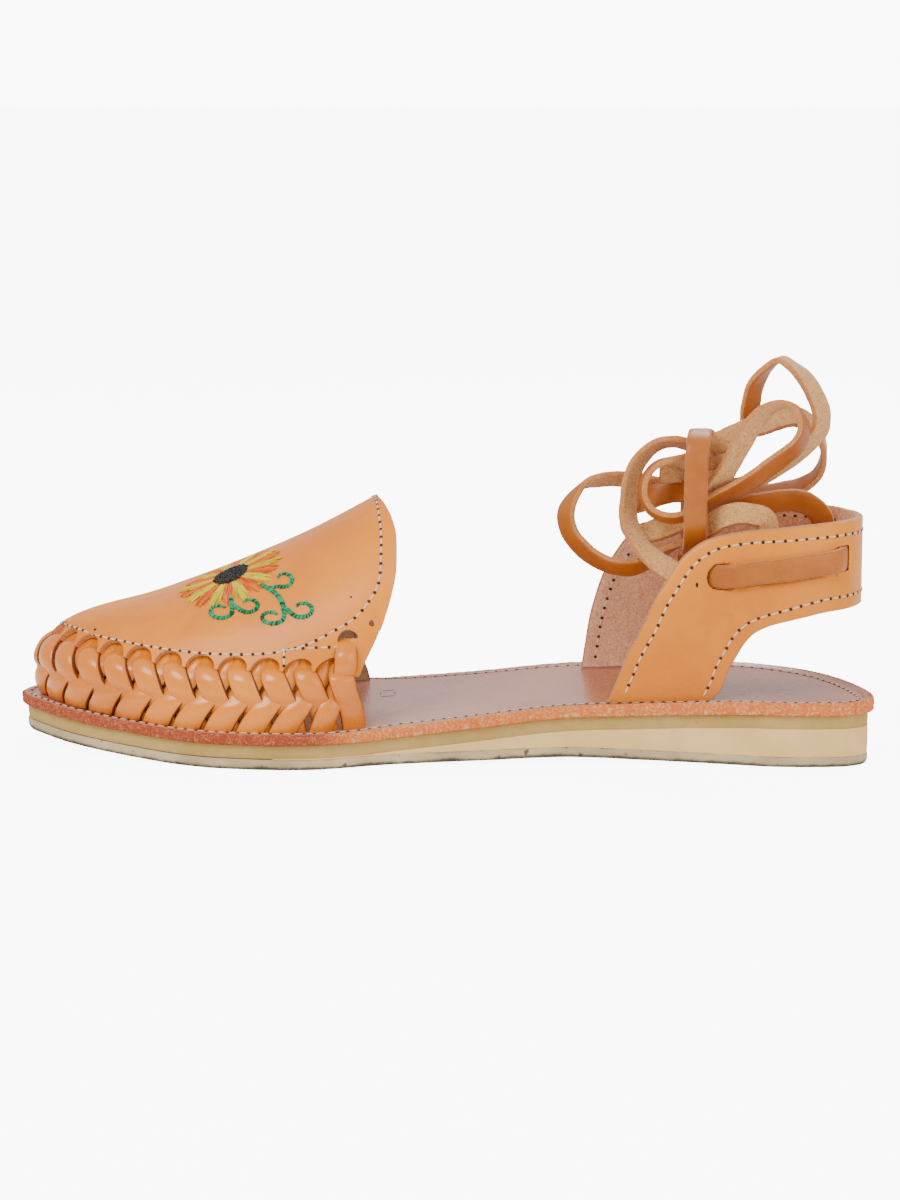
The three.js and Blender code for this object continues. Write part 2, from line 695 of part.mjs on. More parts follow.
function bandShell() {
  const station = (side, row, out) => {
    const middle = { back: (row.topBack + row.lowBack) / 2, rise: (row.topRise + row.lowRise) / 2 };
    return [
      bandPoint(side, row.topBack, row.topRise, out),
      bandPoint(side, middle.back, middle.rise, out),
      bandPoint(side, row.lowBack, row.lowRise, out),
    ];
  };
  const backRow = { topBack: 1, topRise: 1, lowBack: 1, lowRise: 1 - bandBackHeight / bandTop };
  const rows = (out) => [
    ...bandOuterRows.map((row) => station(-1, row, out)),
    station(-1, backRow, out),
    ...[...bandInnerRows].reverse().map((row) => station(1, row, out)),
  ];
  return wallBetween(rows(0), rows(-bandThickness));
}

// Flat lace along a route: each row has a point and the direction of the lace's width there
const at = (x, y, z, wideX, wideY, wideZ) => ({
  point: new THREE.Vector3(x, y, z),
  wide: new THREE.Vector3(wideX, wideY, wideZ).normalize(),
});

function laceAlong(route, width, thickness, steps) {
  const path = new THREE.CatmullRomCurve3(route.map((row) => row.point));
  const sections = [];
  const last = route.length - 1;
  for (let i = 0; i <= steps; i += 1) {
    const t = path.getUtoTmapping(i / steps);
    const k = Math.min(Math.floor(t * last), last - 1);
    const point = path.getPoint(t);
    const ahead = path.getTangent(t);
    const wide = route[k].wide.clone().lerp(route[k + 1].wide, t * last - k);
    wide.addScaledVector(ahead, -wide.dot(ahead)).normalize();
    const face = new THREE.Vector3().crossVectors(ahead, wide);
    const edge = width / 2 - thickness / 4;
    const corners = [[-width / 2, -1], [-edge, -2], [edge, -2], [width / 2, -1],
      [width / 2, 1], [edge, 2], [-edge, 2], [-width / 2, 1]];
    sections.push(corners.map(([w, n]) => point.clone()
      .addScaledVector(wide, w).addScaledVector(face, (n * thickness) / 4)));
  }
  return loft(sections);
}

// The threaded lace: a bar outside each side of the band, and the run inside its back
const laceOutside = laceThickness / 2 + seam;
const laceInside = -bandThickness - laceThickness / 2 - 2 * seam;
const laceInWall = -bandThickness / 2;
const barBackX = bandBackX - laceBarFromBack;

function threadedRoute() {
  const place = (side, x, out) => {
    const back = 1 - (bandBackX - x) / bandReach(side);
    const rise = (laceBarHeight - (barBackX - x) * laceBarSlope) / bandTop;
    const point = bandPoint(side, back, rise, out);
    return at(point.x, point.y, point.z, 0, -side * laceBarLean, 1);
  };
  const half = (side) => {
    const front = barBackX - laceBarLength;
    return [
      place(side, front - laceBend, laceInside),
      place(side, front, laceInWall),
      place(side, front + laceBend, laceOutside),
      place(side, mix(front, barBackX, 0.3), laceOutside),
      place(side, mix(front, barBackX, 0.5), laceOutside),
      place(side, mix(front, barBackX, 0.7), laceOutside),
      place(side, barBackX - laceBend, laceOutside),
      place(side, barBackX - laceBarTuck, laceInWall),
      place(side, bandBackX - laceBackRun, laceInside),
    ];
  };
  return [...half(-1), place(-1, bandBackX, laceInside), ...half(1).reverse()];
}
const threadedSteps = 34;

function heelBand() {
  const clear = 2 * laceClearance;
  const passage = laceAlong(threadedRoute(), laceWidth + clear, laceThickness + clear, threadedSteps);
  return toGeometry(toSolid(bandShell()).subtract(toSolid(passage)));
}

// The free lace: runs between the band and the knot, each with its points and width directions
const runShare = 0.75;
const knotOutline = [
  [12.5, 62], [13, 76], [8.5, 88], [1, 91.8], [-8, 92.2], [-14, 89.5], [-16.4, 82.5],
  [-16.4, 66], [-10.5, 60], [-1, 57], [7, 57.5],
];
const knotFront = 69.6;
const knotBack = 77;
const leadStart = (row, next) => [2 * seam, laceThickness].map((reach) => {
  const ahead = row.point.clone().sub(next.point).setLength(reach);
  return { point: row.point.clone().add(ahead), wide: row.wide };
});
const threaded = threadedRoute();
const outerStart = leadStart(threaded[0], threaded[1]);
const innerStart = leadStart(threaded[threaded.length - 1], threaded[threaded.length - 2]);

const laceRuns = {
  lace_outer_lead: [
    ...outerStart,
    at(66, -16.5, 53.5, 0.4, 0.5, 0.8),
    at(60, -11, 57, 0.7, 0.7, 0.3),
    at(56, -7.5, 61, 0.7, 0.7, 0),
    at(53.5, -5, 67, 0.7, 0.7, -0.2),
    at(53.5, -4, 73, 0.6, 0.8, -0.1),
    at(54.5, -3, 79, 0.6, 0.8, -0.1),
    at(57, -2, 84, 0.5, 0.8, -0.3),
    at(61.5, -2, 88, 0.3, 0.9, -0.4),
    at(66.5, -2, 89, 0.1, 0.9, -0.4),
    at(74, -2, 87.5, 0, 1, -0.2),
  ],
  lace_outer_loop: [
    at(74, -2, 87, 0.3, 0, -0.8),
    at(82, -3, 90, 0.4, -0.3, -0.8),
    at(87, -3, 92.5, 0.4, -0.6, -0.7),
    at(92.5, 0, 94, 0.4, -0.6, -0.7),
    at(98.5, 3, 95.5, 0.3, -0.6, -0.7),
    at(103.5, 6, 95, -0.1, -0.7, -0.7),
    at(107.5, 7, 91.5, -0.3, -0.9, -0.2),
    at(110, 8, 85.5, -0.1, -1, 0),
    at(108.5, 9, 79, 0.2, -1, -0.1),
    at(104.5, 9.5, 75.5, 0.2, -0.9, -0.4),
    at(98.5, 9.5, 73.5, 0.1, -0.8, -0.6),
    at(91.5, 9.5, 72.5, 0.1, -0.8, -0.6),
    at(84.5, 9.5, 71.5, 0, -0.8, -0.6),
    at(74, 9.5, 70.5, 0, -0.8, -0.4),
  ],
  lace_outer_end: [
    at(74, -2, 80, 0.1, 0.1, 1),
    at(68, -3, 80.5, 0.1, 0.1, 1),
    at(65.5, -4, 80.5, 0.1, 0, 1),
    at(62.5, -5, 80.5, 0.1, 0, 1),
  ],
  lace_inner_lead: [
    ...innerStart,
    at(69.4, 18.2, 50.4, 0, 0, 1),
    at(71.2, 16.6, 49.6, 0, 0, 1),
    at(76, 16, 47.4, 0, 0.1, 1),
    at(82, 16, 45.4, -0.1, 0.2, 1),
    at(88, 15.5, 44.8, -0.2, 0.2, 1),
    at(95.5, 15, 46.5, -0.4, 0.2, 0.9),
    at(102.5, 14, 50.5, -0.5, 0.2, 0.8),
    at(108, 12, 56, -0.8, 0.2, 0.6),
    at(110.5, 10, 61.5, -1, 0.2, 0.2),
    at(109, 7, 67, -0.9, 0.2, -0.5),
    at(105, 5, 70.5, -0.4, 0.2, -0.9),
    at(99, 3, 71.5, 0, 0.2, -1),
    at(92, 2.5, 70.5, 0.1, 0.2, -1),
    at(85.5, 2.5, 69.5, 0.2, 0.3, -0.9),
    at(74, 3, 67, 0.1, 0.8, -0.6),
  ],
  lace_small_arc: [
    at(74, 2, 67, -0.4, 0.7, 0.5),
    at(69.5, 1, 65.5, -0.4, 0.7, 0.5),
    at(64, 0.5, 63.5, -0.2, 0.5, 0.8),
    at(58, 1, 62, 0.1, 0.6, 0.8),
    at(54, 2, 62.5, 0.4, 0.9, 0.2),
    at(52, 3, 65.5, 0, 1, -0.2),
    at(53, 3, 68.5, -0.2, 0.9, 0.3),
    at(57, 2, 71, -0.1, 0.6, 0.8),
    at(61.5, 0, 73, -0.2, 0.3, 0.9),
    at(66, -1, 74.5, -0.2, 0.3, 0.9),
    at(74, -3, 75, 0.2, 0.7, 0.7),
  ],
  lace_rear_drop: [
    at(74, -7, 74, 0.7, 0.7, -0.2),
    at(80, -9, 79.5, 0.7, 0.6, -0.4),
    at(83, -9, 84.5, 0.7, 0.6, -0.4),
    at(86, -9, 90, 0.7, 0.6, -0.4),
    at(88.5, -9, 94.5, 0.6, 0.6, -0.4),
    at(92, -9, 98.5, 0.4, 0.8, -0.5),
    at(96.5, -9, 100.5, 0, 1, -0.3),
    at(100.5, -9, 99.5, 0, 1, 0),
    at(103, -9, 94, 0.4, 0.9, 0),
    at(101.5, -9, 89, 0.5, 0.8, -0.4),
    at(97.5, -9, 85.5, 0.4, 0.7, -0.6),
    at(93.5, -9, 82.5, 0.4, 0.7, -0.6),
    at(89, -9, 79, 0.4, 0.7, -0.6),
    at(84, -9, 76, 0.4, 0.7, -0.6),
    at(74, -9, 71, 0.3, 0.8, -0.5),
  ],
  lace_front_ring: [
    at(74, -9, 70.5, 0.2, 0.9, -0.4),
    at(69.5, -10, 68.5, 0.1, 0.9, -0.4),
    at(64, -10.5, 68, -0.1, 0.9, -0.4),
    at(59.5, -10.5, 70.5, -0.2, 1, -0.2),
    at(57.5, -10.5, 74.5, -0.2, 1, 0),
    at(58, -10.5, 79, -0.1, 1, 0),
    at(61, -10.5, 83, 0, 1, 0),
    at(65, -10, 84.5, -0.1, 1, -0.1),
    at(74, -7, 84.5, -0.4, 0.9, -0.2),
  ],
  lace_rear_loop: [
    at(74, -1, 83, 0, 0, -1),
    at(82.5, 3, 84.5, 0.7, -0.7, -0.2),
    at(86, 5, 87.5, -0.1, -0.9, 0.5),
    at(88, 6, 92, -0.7, -0.7, 0.1),
    at(88.5, 5, 99, -0.8, -0.6, -0.1),
    at(90, 3, 105.5, -0.7, -0.7, 0),
    at(93, 1, 110, -0.4, -0.9, 0),
    at(96.5, 0, 112.5, -0.3, -1, 0),
    at(100, -1, 110.5, -0.2, -1, -0.2),
    at(104, -1, 106.5, -0.5, -0.8, -0.3),
    at(107, -1, 101.5, -0.6, -0.7, -0.3),
    at(108.5, -1, 97, -0.7, -0.7, -0.1),
    at(108, -1, 92.5, -0.7, -0.7, 0.3),
    at(105, -1, 88.5, -0.5, -0.7, 0.5),
    at(101, -1, 85, -0.4, -0.7, 0.6),
    at(96, -1, 81.5, -0.4, -0.7, 0.6),
    at(90.5, 0, 78, -0.5, -0.7, 0.5),
    at(85, 2, 76, -0.5, -0.7, 0.5),
    at(74, 5, 75, -0.3, -0.7, 0.6),
  ],
  lace_front_loop: [
    at(74, 9, 74.5, -0.2, -0.7, 0.6),
    at(68.5, 10, 74.5, -0.1, -0.8, 0.6),
    at(62.5, 10, 75, 0.1, -0.8, 0.6),
    at(57, 9, 76, 0.3, -0.7, 0.6),
    at(51, 7, 77, 0.3, -0.7, 0.6),
    at(46, 5, 77, 0.2, -0.8, 0.6),
    at(41, 3, 76, 0.2, -0.9, 0.4),
    at(37.5, 1, 72.5, 0.4, -0.9, 0.1),
    at(35.5, 0, 68, 0.7, -0.8, 0.1),
    at(36.5, -1, 62.5, 0.6, -0.7, 0.4),
    at(39.5, -2, 58.5, 0.4, -0.7, 0.6),
    at(44, -3, 55, 0.2, -0.7, 0.7),
    at(49, -4, 53, 0, -0.7, 0.7),
    at(54, -4, 52.5, -0.1, -0.7, 0.7),
    at(59.5, -3, 54, 0, -0.8, 0.6),
    at(64, -2, 57, 0, -0.9, 0.4),
    at(74, -3, 61.5, -0.2, -1, -0.1),
  ],
  lace_inner_end: [
    at(74, -5, 64, -0.1, -0.8, -0.5),
    at(77.5, -9, 66, 0.4, -0.6, -0.7),
    at(81, -11, 68.5, 0.4, -0.5, -0.8),
    at(85, -11.5, 69.5, 0.1, -0.5, -0.9),
    at(89, -11, 69, -0.3, -0.5, -0.8),
    at(92, -10.5, 68, -0.6, -0.5, -0.6),
    at(93.2, -10, 65, -0.9, -0.4, -0.1),
    at(92.5, -9.5, 61.5, -0.9, -0.3, 0.3),
    at(91, -9.5, 58, -0.9, -0.3, 0.4),
    at(89, -10, 53.5, -0.9, -0.2, 0.5),
  ],
};

// The knot: the lace's wrap as a drum round all the runs that pass through it
function knotDrum(margin) {
  const corners = knotOutline.map(([y, z]) => new THREE.Vector2(y, z));
  const middle = corners.reduce((sum, corner) => sum.add(corner), new THREE.Vector2())
    .divideScalar(corners.length);
  const face = (x) => corners.map((corner) => {
    const out = corner.clone().sub(middle);
    out.setLength(out.length() + margin).add(middle);
    return new THREE.Vector3(x, out.x, out.y);
  });
  return loft([face(knotFront - margin), face(knotBack + margin)]);
}

function laceRun(name) {
  const route = laceRuns[name];
  const steps = Math.round((route.length - 1) * runShare);
  const run = toSolid(laceAlong(route, laceWidth, laceThickness, steps));
  return toGeometry(run.subtract(toSolid(knotDrum(seam))));
}

// The assembly
const sandal = new THREE.Group();
const add = (name, geometry, finish) => sandal.add(namedMesh(name, geometry, finish));
const wedgeBottom = (x) => outsoleTop(x) + seam;
const wedgeTop = (x) => midsoleBottom(x) - seam;
add('outsole', soleLayer(layerLines(lift, outsoleTop)), finishes.outsole);
add('heel_wedge', soleLayer(layerLines(wedgeBottom, wedgeTop), wedgeFirstStation()), finishes.wedge);
add('midsole', soleLayer(layerLines(midsoleBottom, midsoleTop)), finishes.midsole);
add('insole', soleLayer(insoleLines), finishes.insole);
add('vamp', vamp(), finishes.leather);
add('woven_wall', wovenWall(), finishes.leather);
add('heel_band', heelBand(), finishes.leather);
add('lace_threaded', laceAlong(threadedRoute(), laceWidth, laceThickness, threadedSteps), finishes.lace);
add('lace_knot', knotDrum(0), finishes.lace);
for (const name of Object.keys(laceRuns)) add(name, laceRun(name), finishes.lace);

export default sandal;
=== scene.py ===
"""Huarache sandal, left shoe: fine surfaces, stitches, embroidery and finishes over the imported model.

Lengths in the classes are millimetres in the shoe's own frame: toe towards -X, outer side towards
-Y, floor at z = 0. Meshes are written in metres.
"""

import logging
import math
from dataclasses import dataclass, field
from enum import Enum
from typing import Callable, Sequence

import bpy
import numpy as np
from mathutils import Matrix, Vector
from mathutils.bvhtree import BVHTree


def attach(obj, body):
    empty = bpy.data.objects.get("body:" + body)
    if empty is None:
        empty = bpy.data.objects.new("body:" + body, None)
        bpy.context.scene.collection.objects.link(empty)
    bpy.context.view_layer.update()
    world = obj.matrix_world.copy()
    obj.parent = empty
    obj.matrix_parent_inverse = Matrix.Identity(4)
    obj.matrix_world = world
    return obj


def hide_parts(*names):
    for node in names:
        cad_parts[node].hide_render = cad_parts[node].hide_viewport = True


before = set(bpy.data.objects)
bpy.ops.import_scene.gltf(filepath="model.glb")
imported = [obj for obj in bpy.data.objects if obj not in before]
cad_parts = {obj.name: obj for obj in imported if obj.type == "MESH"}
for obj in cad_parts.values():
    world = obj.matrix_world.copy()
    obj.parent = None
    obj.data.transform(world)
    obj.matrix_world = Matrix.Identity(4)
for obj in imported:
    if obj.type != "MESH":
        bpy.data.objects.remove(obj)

log = logging.getLogger("sandal")

MM = 0.001
BODY = "root"
Array = np.ndarray
Row = tuple[float, ...]


# Curves and numbers

def srgb(red: float, green: float, blue: float) -> tuple[float, float, float, float]:
    """Turn a screen colour of 0 to 255 into a linear colour with alpha."""
    def linear(value: float) -> float:
        share = value / 255.0
        return share / 12.92 if share <= 0.04045 else ((share + 0.055) / 1.055) ** 2.4
    return (linear(red), linear(green), linear(blue), 1.0)


def unit(vectors: Array) -> Array:
    """Scale vectors along the last axis to length one."""
    return vectors / np.maximum(np.linalg.norm(vectors, axis=-1, keepdims=True), 1e-9)


def blend(low: Array | float, high: Array | float, share: Array | float) -> Array:
    """Mix two values linearly."""
    return low + (high - low) * share


def smooth_step(value: Array, low: float, high: float) -> Array:
    """Rise smoothly from 0 at low to 1 at high."""
    share = np.clip((value - low) / (high - low), 0.0, 1.0)
    return share * share * (3.0 - 2.0 * share)


class TableCurve:
    """Smooth curve without overshoot through two columns of a table, level beyond its ends."""

    def __init__(self, xs: Sequence[float], ys: Sequence[float]) -> None:
        """Work out the slope at each row.

        Args:
            xs: rising places.
            ys: values there.
        """
        self.xs = np.asarray(xs, float)
        self.ys = np.asarray(ys, float)
        rate = np.diff(self.ys) / np.diff(self.xs)
        before, after = rate[:-1], rate[1:]
        total = np.where(np.abs(before + after) < 1e-12, 1.0, before + after)
        inner = np.where(before * after <= 0.0, 0.0, 2.0 * before * after / total)
        self.slopes = np.concatenate(([rate[0]], inner, [rate[-1]]))

    def __call__(self, x: Array | float) -> Array:
        """Value at x.

        Args:
            x: one place or an array of places.

        Returns:
            The values, in the same shape.
        """
        x = np.clip(x, self.xs[0], self.xs[-1])
        i = np.clip(np.searchsorted(self.xs, x, side="right") - 1, 0, len(self.xs) - 2)
        span = self.xs[i + 1] - self.xs[i]
        u = (x - self.xs[i]) / span
        start = (1 + 2 * u) * (1 - u) ** 2 * self.ys[i] + u * (1 - u) ** 2 * span * self.slopes[i]
        end = u * u * (3 - 2 * u) * self.ys[i + 1] - u * u * (1 - u) * span * self.slopes[i + 1]
        return start + end


def spline(points: Array, t: Array, closed: bool = False) -> Array:
    """Centripetal Catmull-Rom curve.

    Args:
        points: the points that it passes through, one a row.
        t: places from 0 to 1, evenly shared between the points.
        closed: whether the last point leads back to the first.

    Returns:
        The points on the curve, one a row.
    """
    p = np.asarray(points, float)
    n = len(p)
    place = np.atleast_1d(t) * (n if closed else n - 1)
    i = np.floor(place).astype(int)
    if closed:
        w = place - i
        a, b, c, d = p[(i - 1) % n], p[i % n], p[(i + 1) % n], p[(i + 2) % n]
    else:
        i = np.clip(i, 0, n - 2)
        w = place - i
        long = np.vstack((2 * p[0] - p[1], p, 2 * p[-1] - p[-2]))
        a, b, c, d = long[i], long[i + 1], long[i + 2], long[i + 3]
    w = w[:, None]

    def gap(u: Array, v: Array) -> Array:
        return np.maximum(np.sqrt(np.linalg.norm(u - v, axis=1))[:, None], 1e-4)

    g0, g1, g2 = gap(a, b), gap(b, c), gap(c, d)
    s1 = ((b - a) / g0 - (c - a) / (g0 + g1) + (c - b) / g1) * g1
    s2 = ((c - b) / g1 - (d - b) / (g1 + g2) + (d - c) / g2) * g1
    return b + s1 * w + (3 * (c - b) - 2 * s1 - s2) * w**2 + (2 * (b - c) + s1 + s2) * w**3


def directions(path: Array) -> Array:
    """Unit direction of travel at each point of a path."""
    return unit(np.gradient(path, axis=0))


def wobble(values: Array, wave: float, seed: int) -> Array:
    """Smooth, repeatable unevenness between about -1 and 1.

    Args:
        values: places along a line, in the unit of wave.
        wave: length of its longest wave.
        seed: which unevenness.

    Returns:
        The unevenness at each place.
    """
    rng = np.random.default_rng(seed)
    total = np.zeros_like(np.asarray(values, float))
    for octave in range(5):
        phase = rng.uniform(0.0, 2.0 * math.pi)
        stretch = wave / (1.9**octave) * rng.uniform(0.85, 1.15)
        total = total + np.sin(2.0 * math.pi * np.asarray(values) / stretch + phase) / (1.35**octave)
    return total / 2.4


# Meshes

@dataclass
class Patches:
    """Faces collected for one piece, in millimetres."""

    points: list[Array] = field(default_factory=list)
    faces: list[tuple[int, ...]] = field(default_factory=list)
    slots: list[int] = field(default_factory=list)
    marks: list[Array] = field(default_factory=list)
    count: int = 0

    def add(self, points: Array, faces: Sequence[tuple[int, ...]], slots: Sequence[int] | int = 0,
            marks: Array | None = None) -> None:
        """Add points with the faces over them.

        Args:
            points: places, one a row.
            faces: corner numbers of each face, counted in these points.
            slots: material slot of each face, or one for all.
            marks: two numbers for each point, which become its UV.
        """
        points = np.asarray(points, float).reshape(-1, 3)
        self.points.append(points)
        self.faces.extend(tuple(c + self.count for c in face) for face in faces)
        self.slots.extend([slots] * len(faces) if isinstance(slots, int) else slots)
        self.marks.append(np.zeros((len(points), 2)) if marks is None else marks.reshape(-1, 2))
        self.count += len(points)

    def tube(self, rings: Array, slots: Sequence[int] | int = 0, marks: Array | None = None,
             end_slot: int = 0, caps: bool = True) -> None:
        """Add a closed tube through rings of points.

        Args:
            rings: array of ring, corner and coordinate.
            slots: material slot of each side of the ring, or one for all.
            marks: two numbers for each ring and corner.
            end_slot: material slot of the two ends.
            caps: whether the ends are closed.
        """
        count, size = rings.shape[:2]
        sides = [slots] * size if isinstance(slots, int) else list(slots)
        faces, face_slots = [], []
        for i in range(count - 1):
            for j in range(size):
                k = (j + 1) % size
                faces.append((i * size + j, i * size + k, (i + 1) * size + k, (i + 1) * size + j))
                face_slots.append(sides[j])
        if caps:
            faces.append(tuple(range(size - 1, -1, -1)))
            faces.append(tuple((count - 1) * size + j for j in range(size)))
            face_slots += [end_slot, end_slot]
        self.add(rings, faces, face_slots, marks)

    def sheet(self, rows: Array, slot: int = 0, marks: Array | None = None) -> None:
        """Add an open sheet over a grid of points.

        Args:
            rows: array of row, column and coordinate.
            slot: its material slot.
            marks: two numbers for each grid point.
        """
        count, size = rows.shape[:2]
        faces = [
            (i * size + j, i * size + j + 1, (i + 1) * size + j + 1, (i + 1) * size + j)
            for i in range(count - 1) for j in range(size - 1)
        ]
        self.add(rows, faces, slot, marks)


def outward_sign(points: Array, faces: Sequence[tuple[int, ...]]) -> float:
    """Tell whether the faces of a closed mesh point out (positive) or in (negative)."""
    total = 0.0
    for face in faces:
        a = points[face[0]]
        for j in range(1, len(face) - 1):
            total += float(np.dot(a, np.cross(points[face[j]], points[face[j + 1]])))
    return total


def make_object(name: str, patches: Patches, finishes: Sequence[bpy.types.Material],
                sharp: float = 40.0, orient: bool = True) -> bpy.types.Object:
    """Make a Blender object at the origin from collected patches.

    Args:
        name: its name.
        patches: its faces in millimetres.
        finishes: one material for each slot.
        sharp: angle in degrees from which an edge stays sharp.
        orient: whether the faces of this closed mesh are turned outwards.

    Returns:
        The object, linked to the scene.
    """
    points = np.vstack(patches.points)
    faces = patches.faces
    if orient and outward_sign(points, faces) < 0:
        faces = [tuple(reversed(face)) for face in faces]
    mesh = bpy.data.meshes.new(name)
    mesh.from_pydata((points * MM).tolist(), [], faces)
    mesh.polygons.foreach_set("material_index", patches.slots)
    layer = mesh.uv_layers.new(name="along")
    corners = np.zeros(len(mesh.loops), dtype=int)
    mesh.loops.foreach_get("vertex_index", corners)
    layer.data.foreach_set("uv", np.vstack(patches.marks)[corners].ravel())
    for finish in finishes:
        mesh.materials.append(finish)
    mesh.shade_smooth()
    mesh.set_sharp_from_angle(angle=math.radians(sharp))
    mesh.update()
    obj = bpy.data.objects.new(name, mesh)
    bpy.context.scene.collection.objects.link(obj)
    return obj


def settle(obj: bpy.types.Object) -> bpy.types.Object:
    """Turn an object with modifiers into one with a plain mesh.

    Args:
        obj: the object, whose modifiers are used up.

    Returns:
        The same object.
    """
    graph = bpy.context.evaluated_depsgraph_get()
    graph.update()
    done = bpy.data.meshes.new_from_object(
        obj.evaluated_get(graph), preserve_all_data_layers=True, depsgraph=graph
    )
    done.name = obj.name
    obj.modifiers.clear()
    obj.data = done
    return obj


def finish_piece(obj: bpy.types.Object, slot: str | None, *nodes: str) -> bpy.types.Object:
    """Fasten a piece to the shoe and hide the nodes that it stands for.

    Args:
        obj: the piece.
        slot: material slot of the record, if it has one for this piece; not used.
        nodes: nodes that it replaces.

    Returns:
        The piece.
    """
    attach(obj, BODY)
    if nodes:
        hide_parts(*nodes)
    log.info("%s: %d faces", obj.name, len(obj.data.polygons))
    return obj


# The shoe's forms

@dataclass
class Footbed:
    """Outline and heights of the sole's layers."""

    length: float = 247.0
    ball: float = 88.2
    waist: float = 71.0
    heel: float = 64.0
    toe_spring: float = 4.2
    arch_lift: float = 2.1
    outsole: float = 3.0
    wedge: float = 7.4
    midsole: float = 3.6
    insole: float = 3.2
    overhang: float = 1.5
    rim: float = 2.6
    curl: float = 0.7
    seam: float = 0.3
    heel_row: int = 18

    def __post_init__(self) -> None:
        """Prepare the outline and the tables of heights."""
        ball, waist, heel = self.ball, self.waist, self.heel
        # along as a share of the length, across as a share of half the named width
        rows = (
            (0.0, -0.07, ball), (0.008, -0.2, ball), (0.029, -0.34, ball), (0.058, -0.49, ball),
            (0.11, -0.665, ball), (0.16, -0.8, ball), (0.21, -0.905, ball), (0.26, -0.97, ball),
            (0.32, -1.0, ball), (0.39, -0.965, ball), (0.46, -1.08, waist), (0.55, -0.965, waist),
            (0.65, -0.9, waist), (0.75, -0.995, heel), (0.85, -1.01, heel), (0.93, -1.01, heel),
            (0.972, -0.95, heel), (0.994, -0.81, heel), (1.0, -0.56, heel), (0.99, -0.18, heel),
            (0.966, 0.26, heel), (0.935, 0.6, heel), (0.892, 0.85, heel), (0.84, 0.985, heel),
            (0.77, 1.04, heel), (0.69, 1.03, waist), (0.6, 1.08, waist), (0.51, 1.115, waist),
            (0.43, 1.16, waist), (0.36, 0.985, ball), (0.29, 1.0, ball), (0.22, 0.965, ball),
            (0.16, 0.88, ball), (0.105, 0.745, ball), (0.06, 0.57, ball), (0.028, 0.375, ball),
            (0.007, 0.15, ball),
        )
        self.toe = -self.length / 2
        self.corners = np.array([(self.toe + a * self.length, c * of / 2, 0.0) for a, c, of in rows])
        self.heel_turn = self.heel_row / len(rows)
        along = (0.0, 0.04, 0.09, 0.15, 0.21, 0.25, 0.345, 0.43, 0.55, 0.65, 0.73, 0.82, 0.895, 1.0)
        toe = (1.0, 0.82, 0.54, 0.28, 0.06, 0, 0, 0, 0, 0, 0, 0, 0, 0)
        arch = (0, 0, 0, 0, 0, 0, 0, 0.38, 0.62, 1.0, 0.72, 0.32, 0, 0)
        self.toe_share = TableCurve(along, toe)
        self.arch_share = TableCurve(along, arch)
        self.wedge_share = TableCurve(
            (0.42, 0.5, 0.6, 0.7, 0.8, 0.88, 1.0), (0, 0.19, 0.45, 0.66, 0.88, 1.0, 1.0)
        )

    def edge(self, turn: Array, inset: Array | float) -> Array:
        """Points of the outline moved inwards.

        Args:
            turn: places from 0 at the toe over the outer side to 1.
            inset: how far inwards.

        Returns:
            Points at height 0, one a row.
        """
        turn = np.mod(turn, 1.0)
        step = 1e-4
        here = spline(self.corners, turn, closed=True)
        ahead = spline(self.corners, np.mod(turn + step, 1.0), closed=True)
        behind = spline(self.corners, np.mod(turn - step, 1.0), closed=True)
        go = unit(ahead - behind)
        side = np.stack((-go[:, 1], go[:, 0], np.zeros(len(go))), axis=1)
        return here + side * np.broadcast_to(inset, turn.shape)[:, None]

    def share(self, x: Array) -> Array:
        """Share of the length from the toe."""
        return (x - self.toe) / self.length

    def lift(self, x: Array) -> Array:
        """Height of the outsole's underside."""
        share = self.share(x)
        return self.toe_spring * self.toe_share(share) + self.arch_lift * self.arch_share(share)

    def outsole_top(self, x: Array) -> Array:
        """Height of the outsole's top."""
        return self.lift(x) + self.outsole

    def midsole_bottom(self, x: Array) -> Array:
        """Height of the midsole's underside."""
        gap = (self.wedge + self.seam) * self.wedge_share(self.share(x))
        return self.outsole_top(x) + self.seam + gap

    def midsole_top(self, x: Array) -> Array:
        """Height of the midsole's top."""
        return self.midsole_bottom(x) + self.midsole

    def insole_bottom(self, x: Array) -> Array:
        """Height of the insole's underside."""
        return self.midsole_top(x) + self.seam

    def insole_top(self, x: Array) -> Array:
        """Height of the insole's top."""
        return self.insole_bottom(x) + self.insole


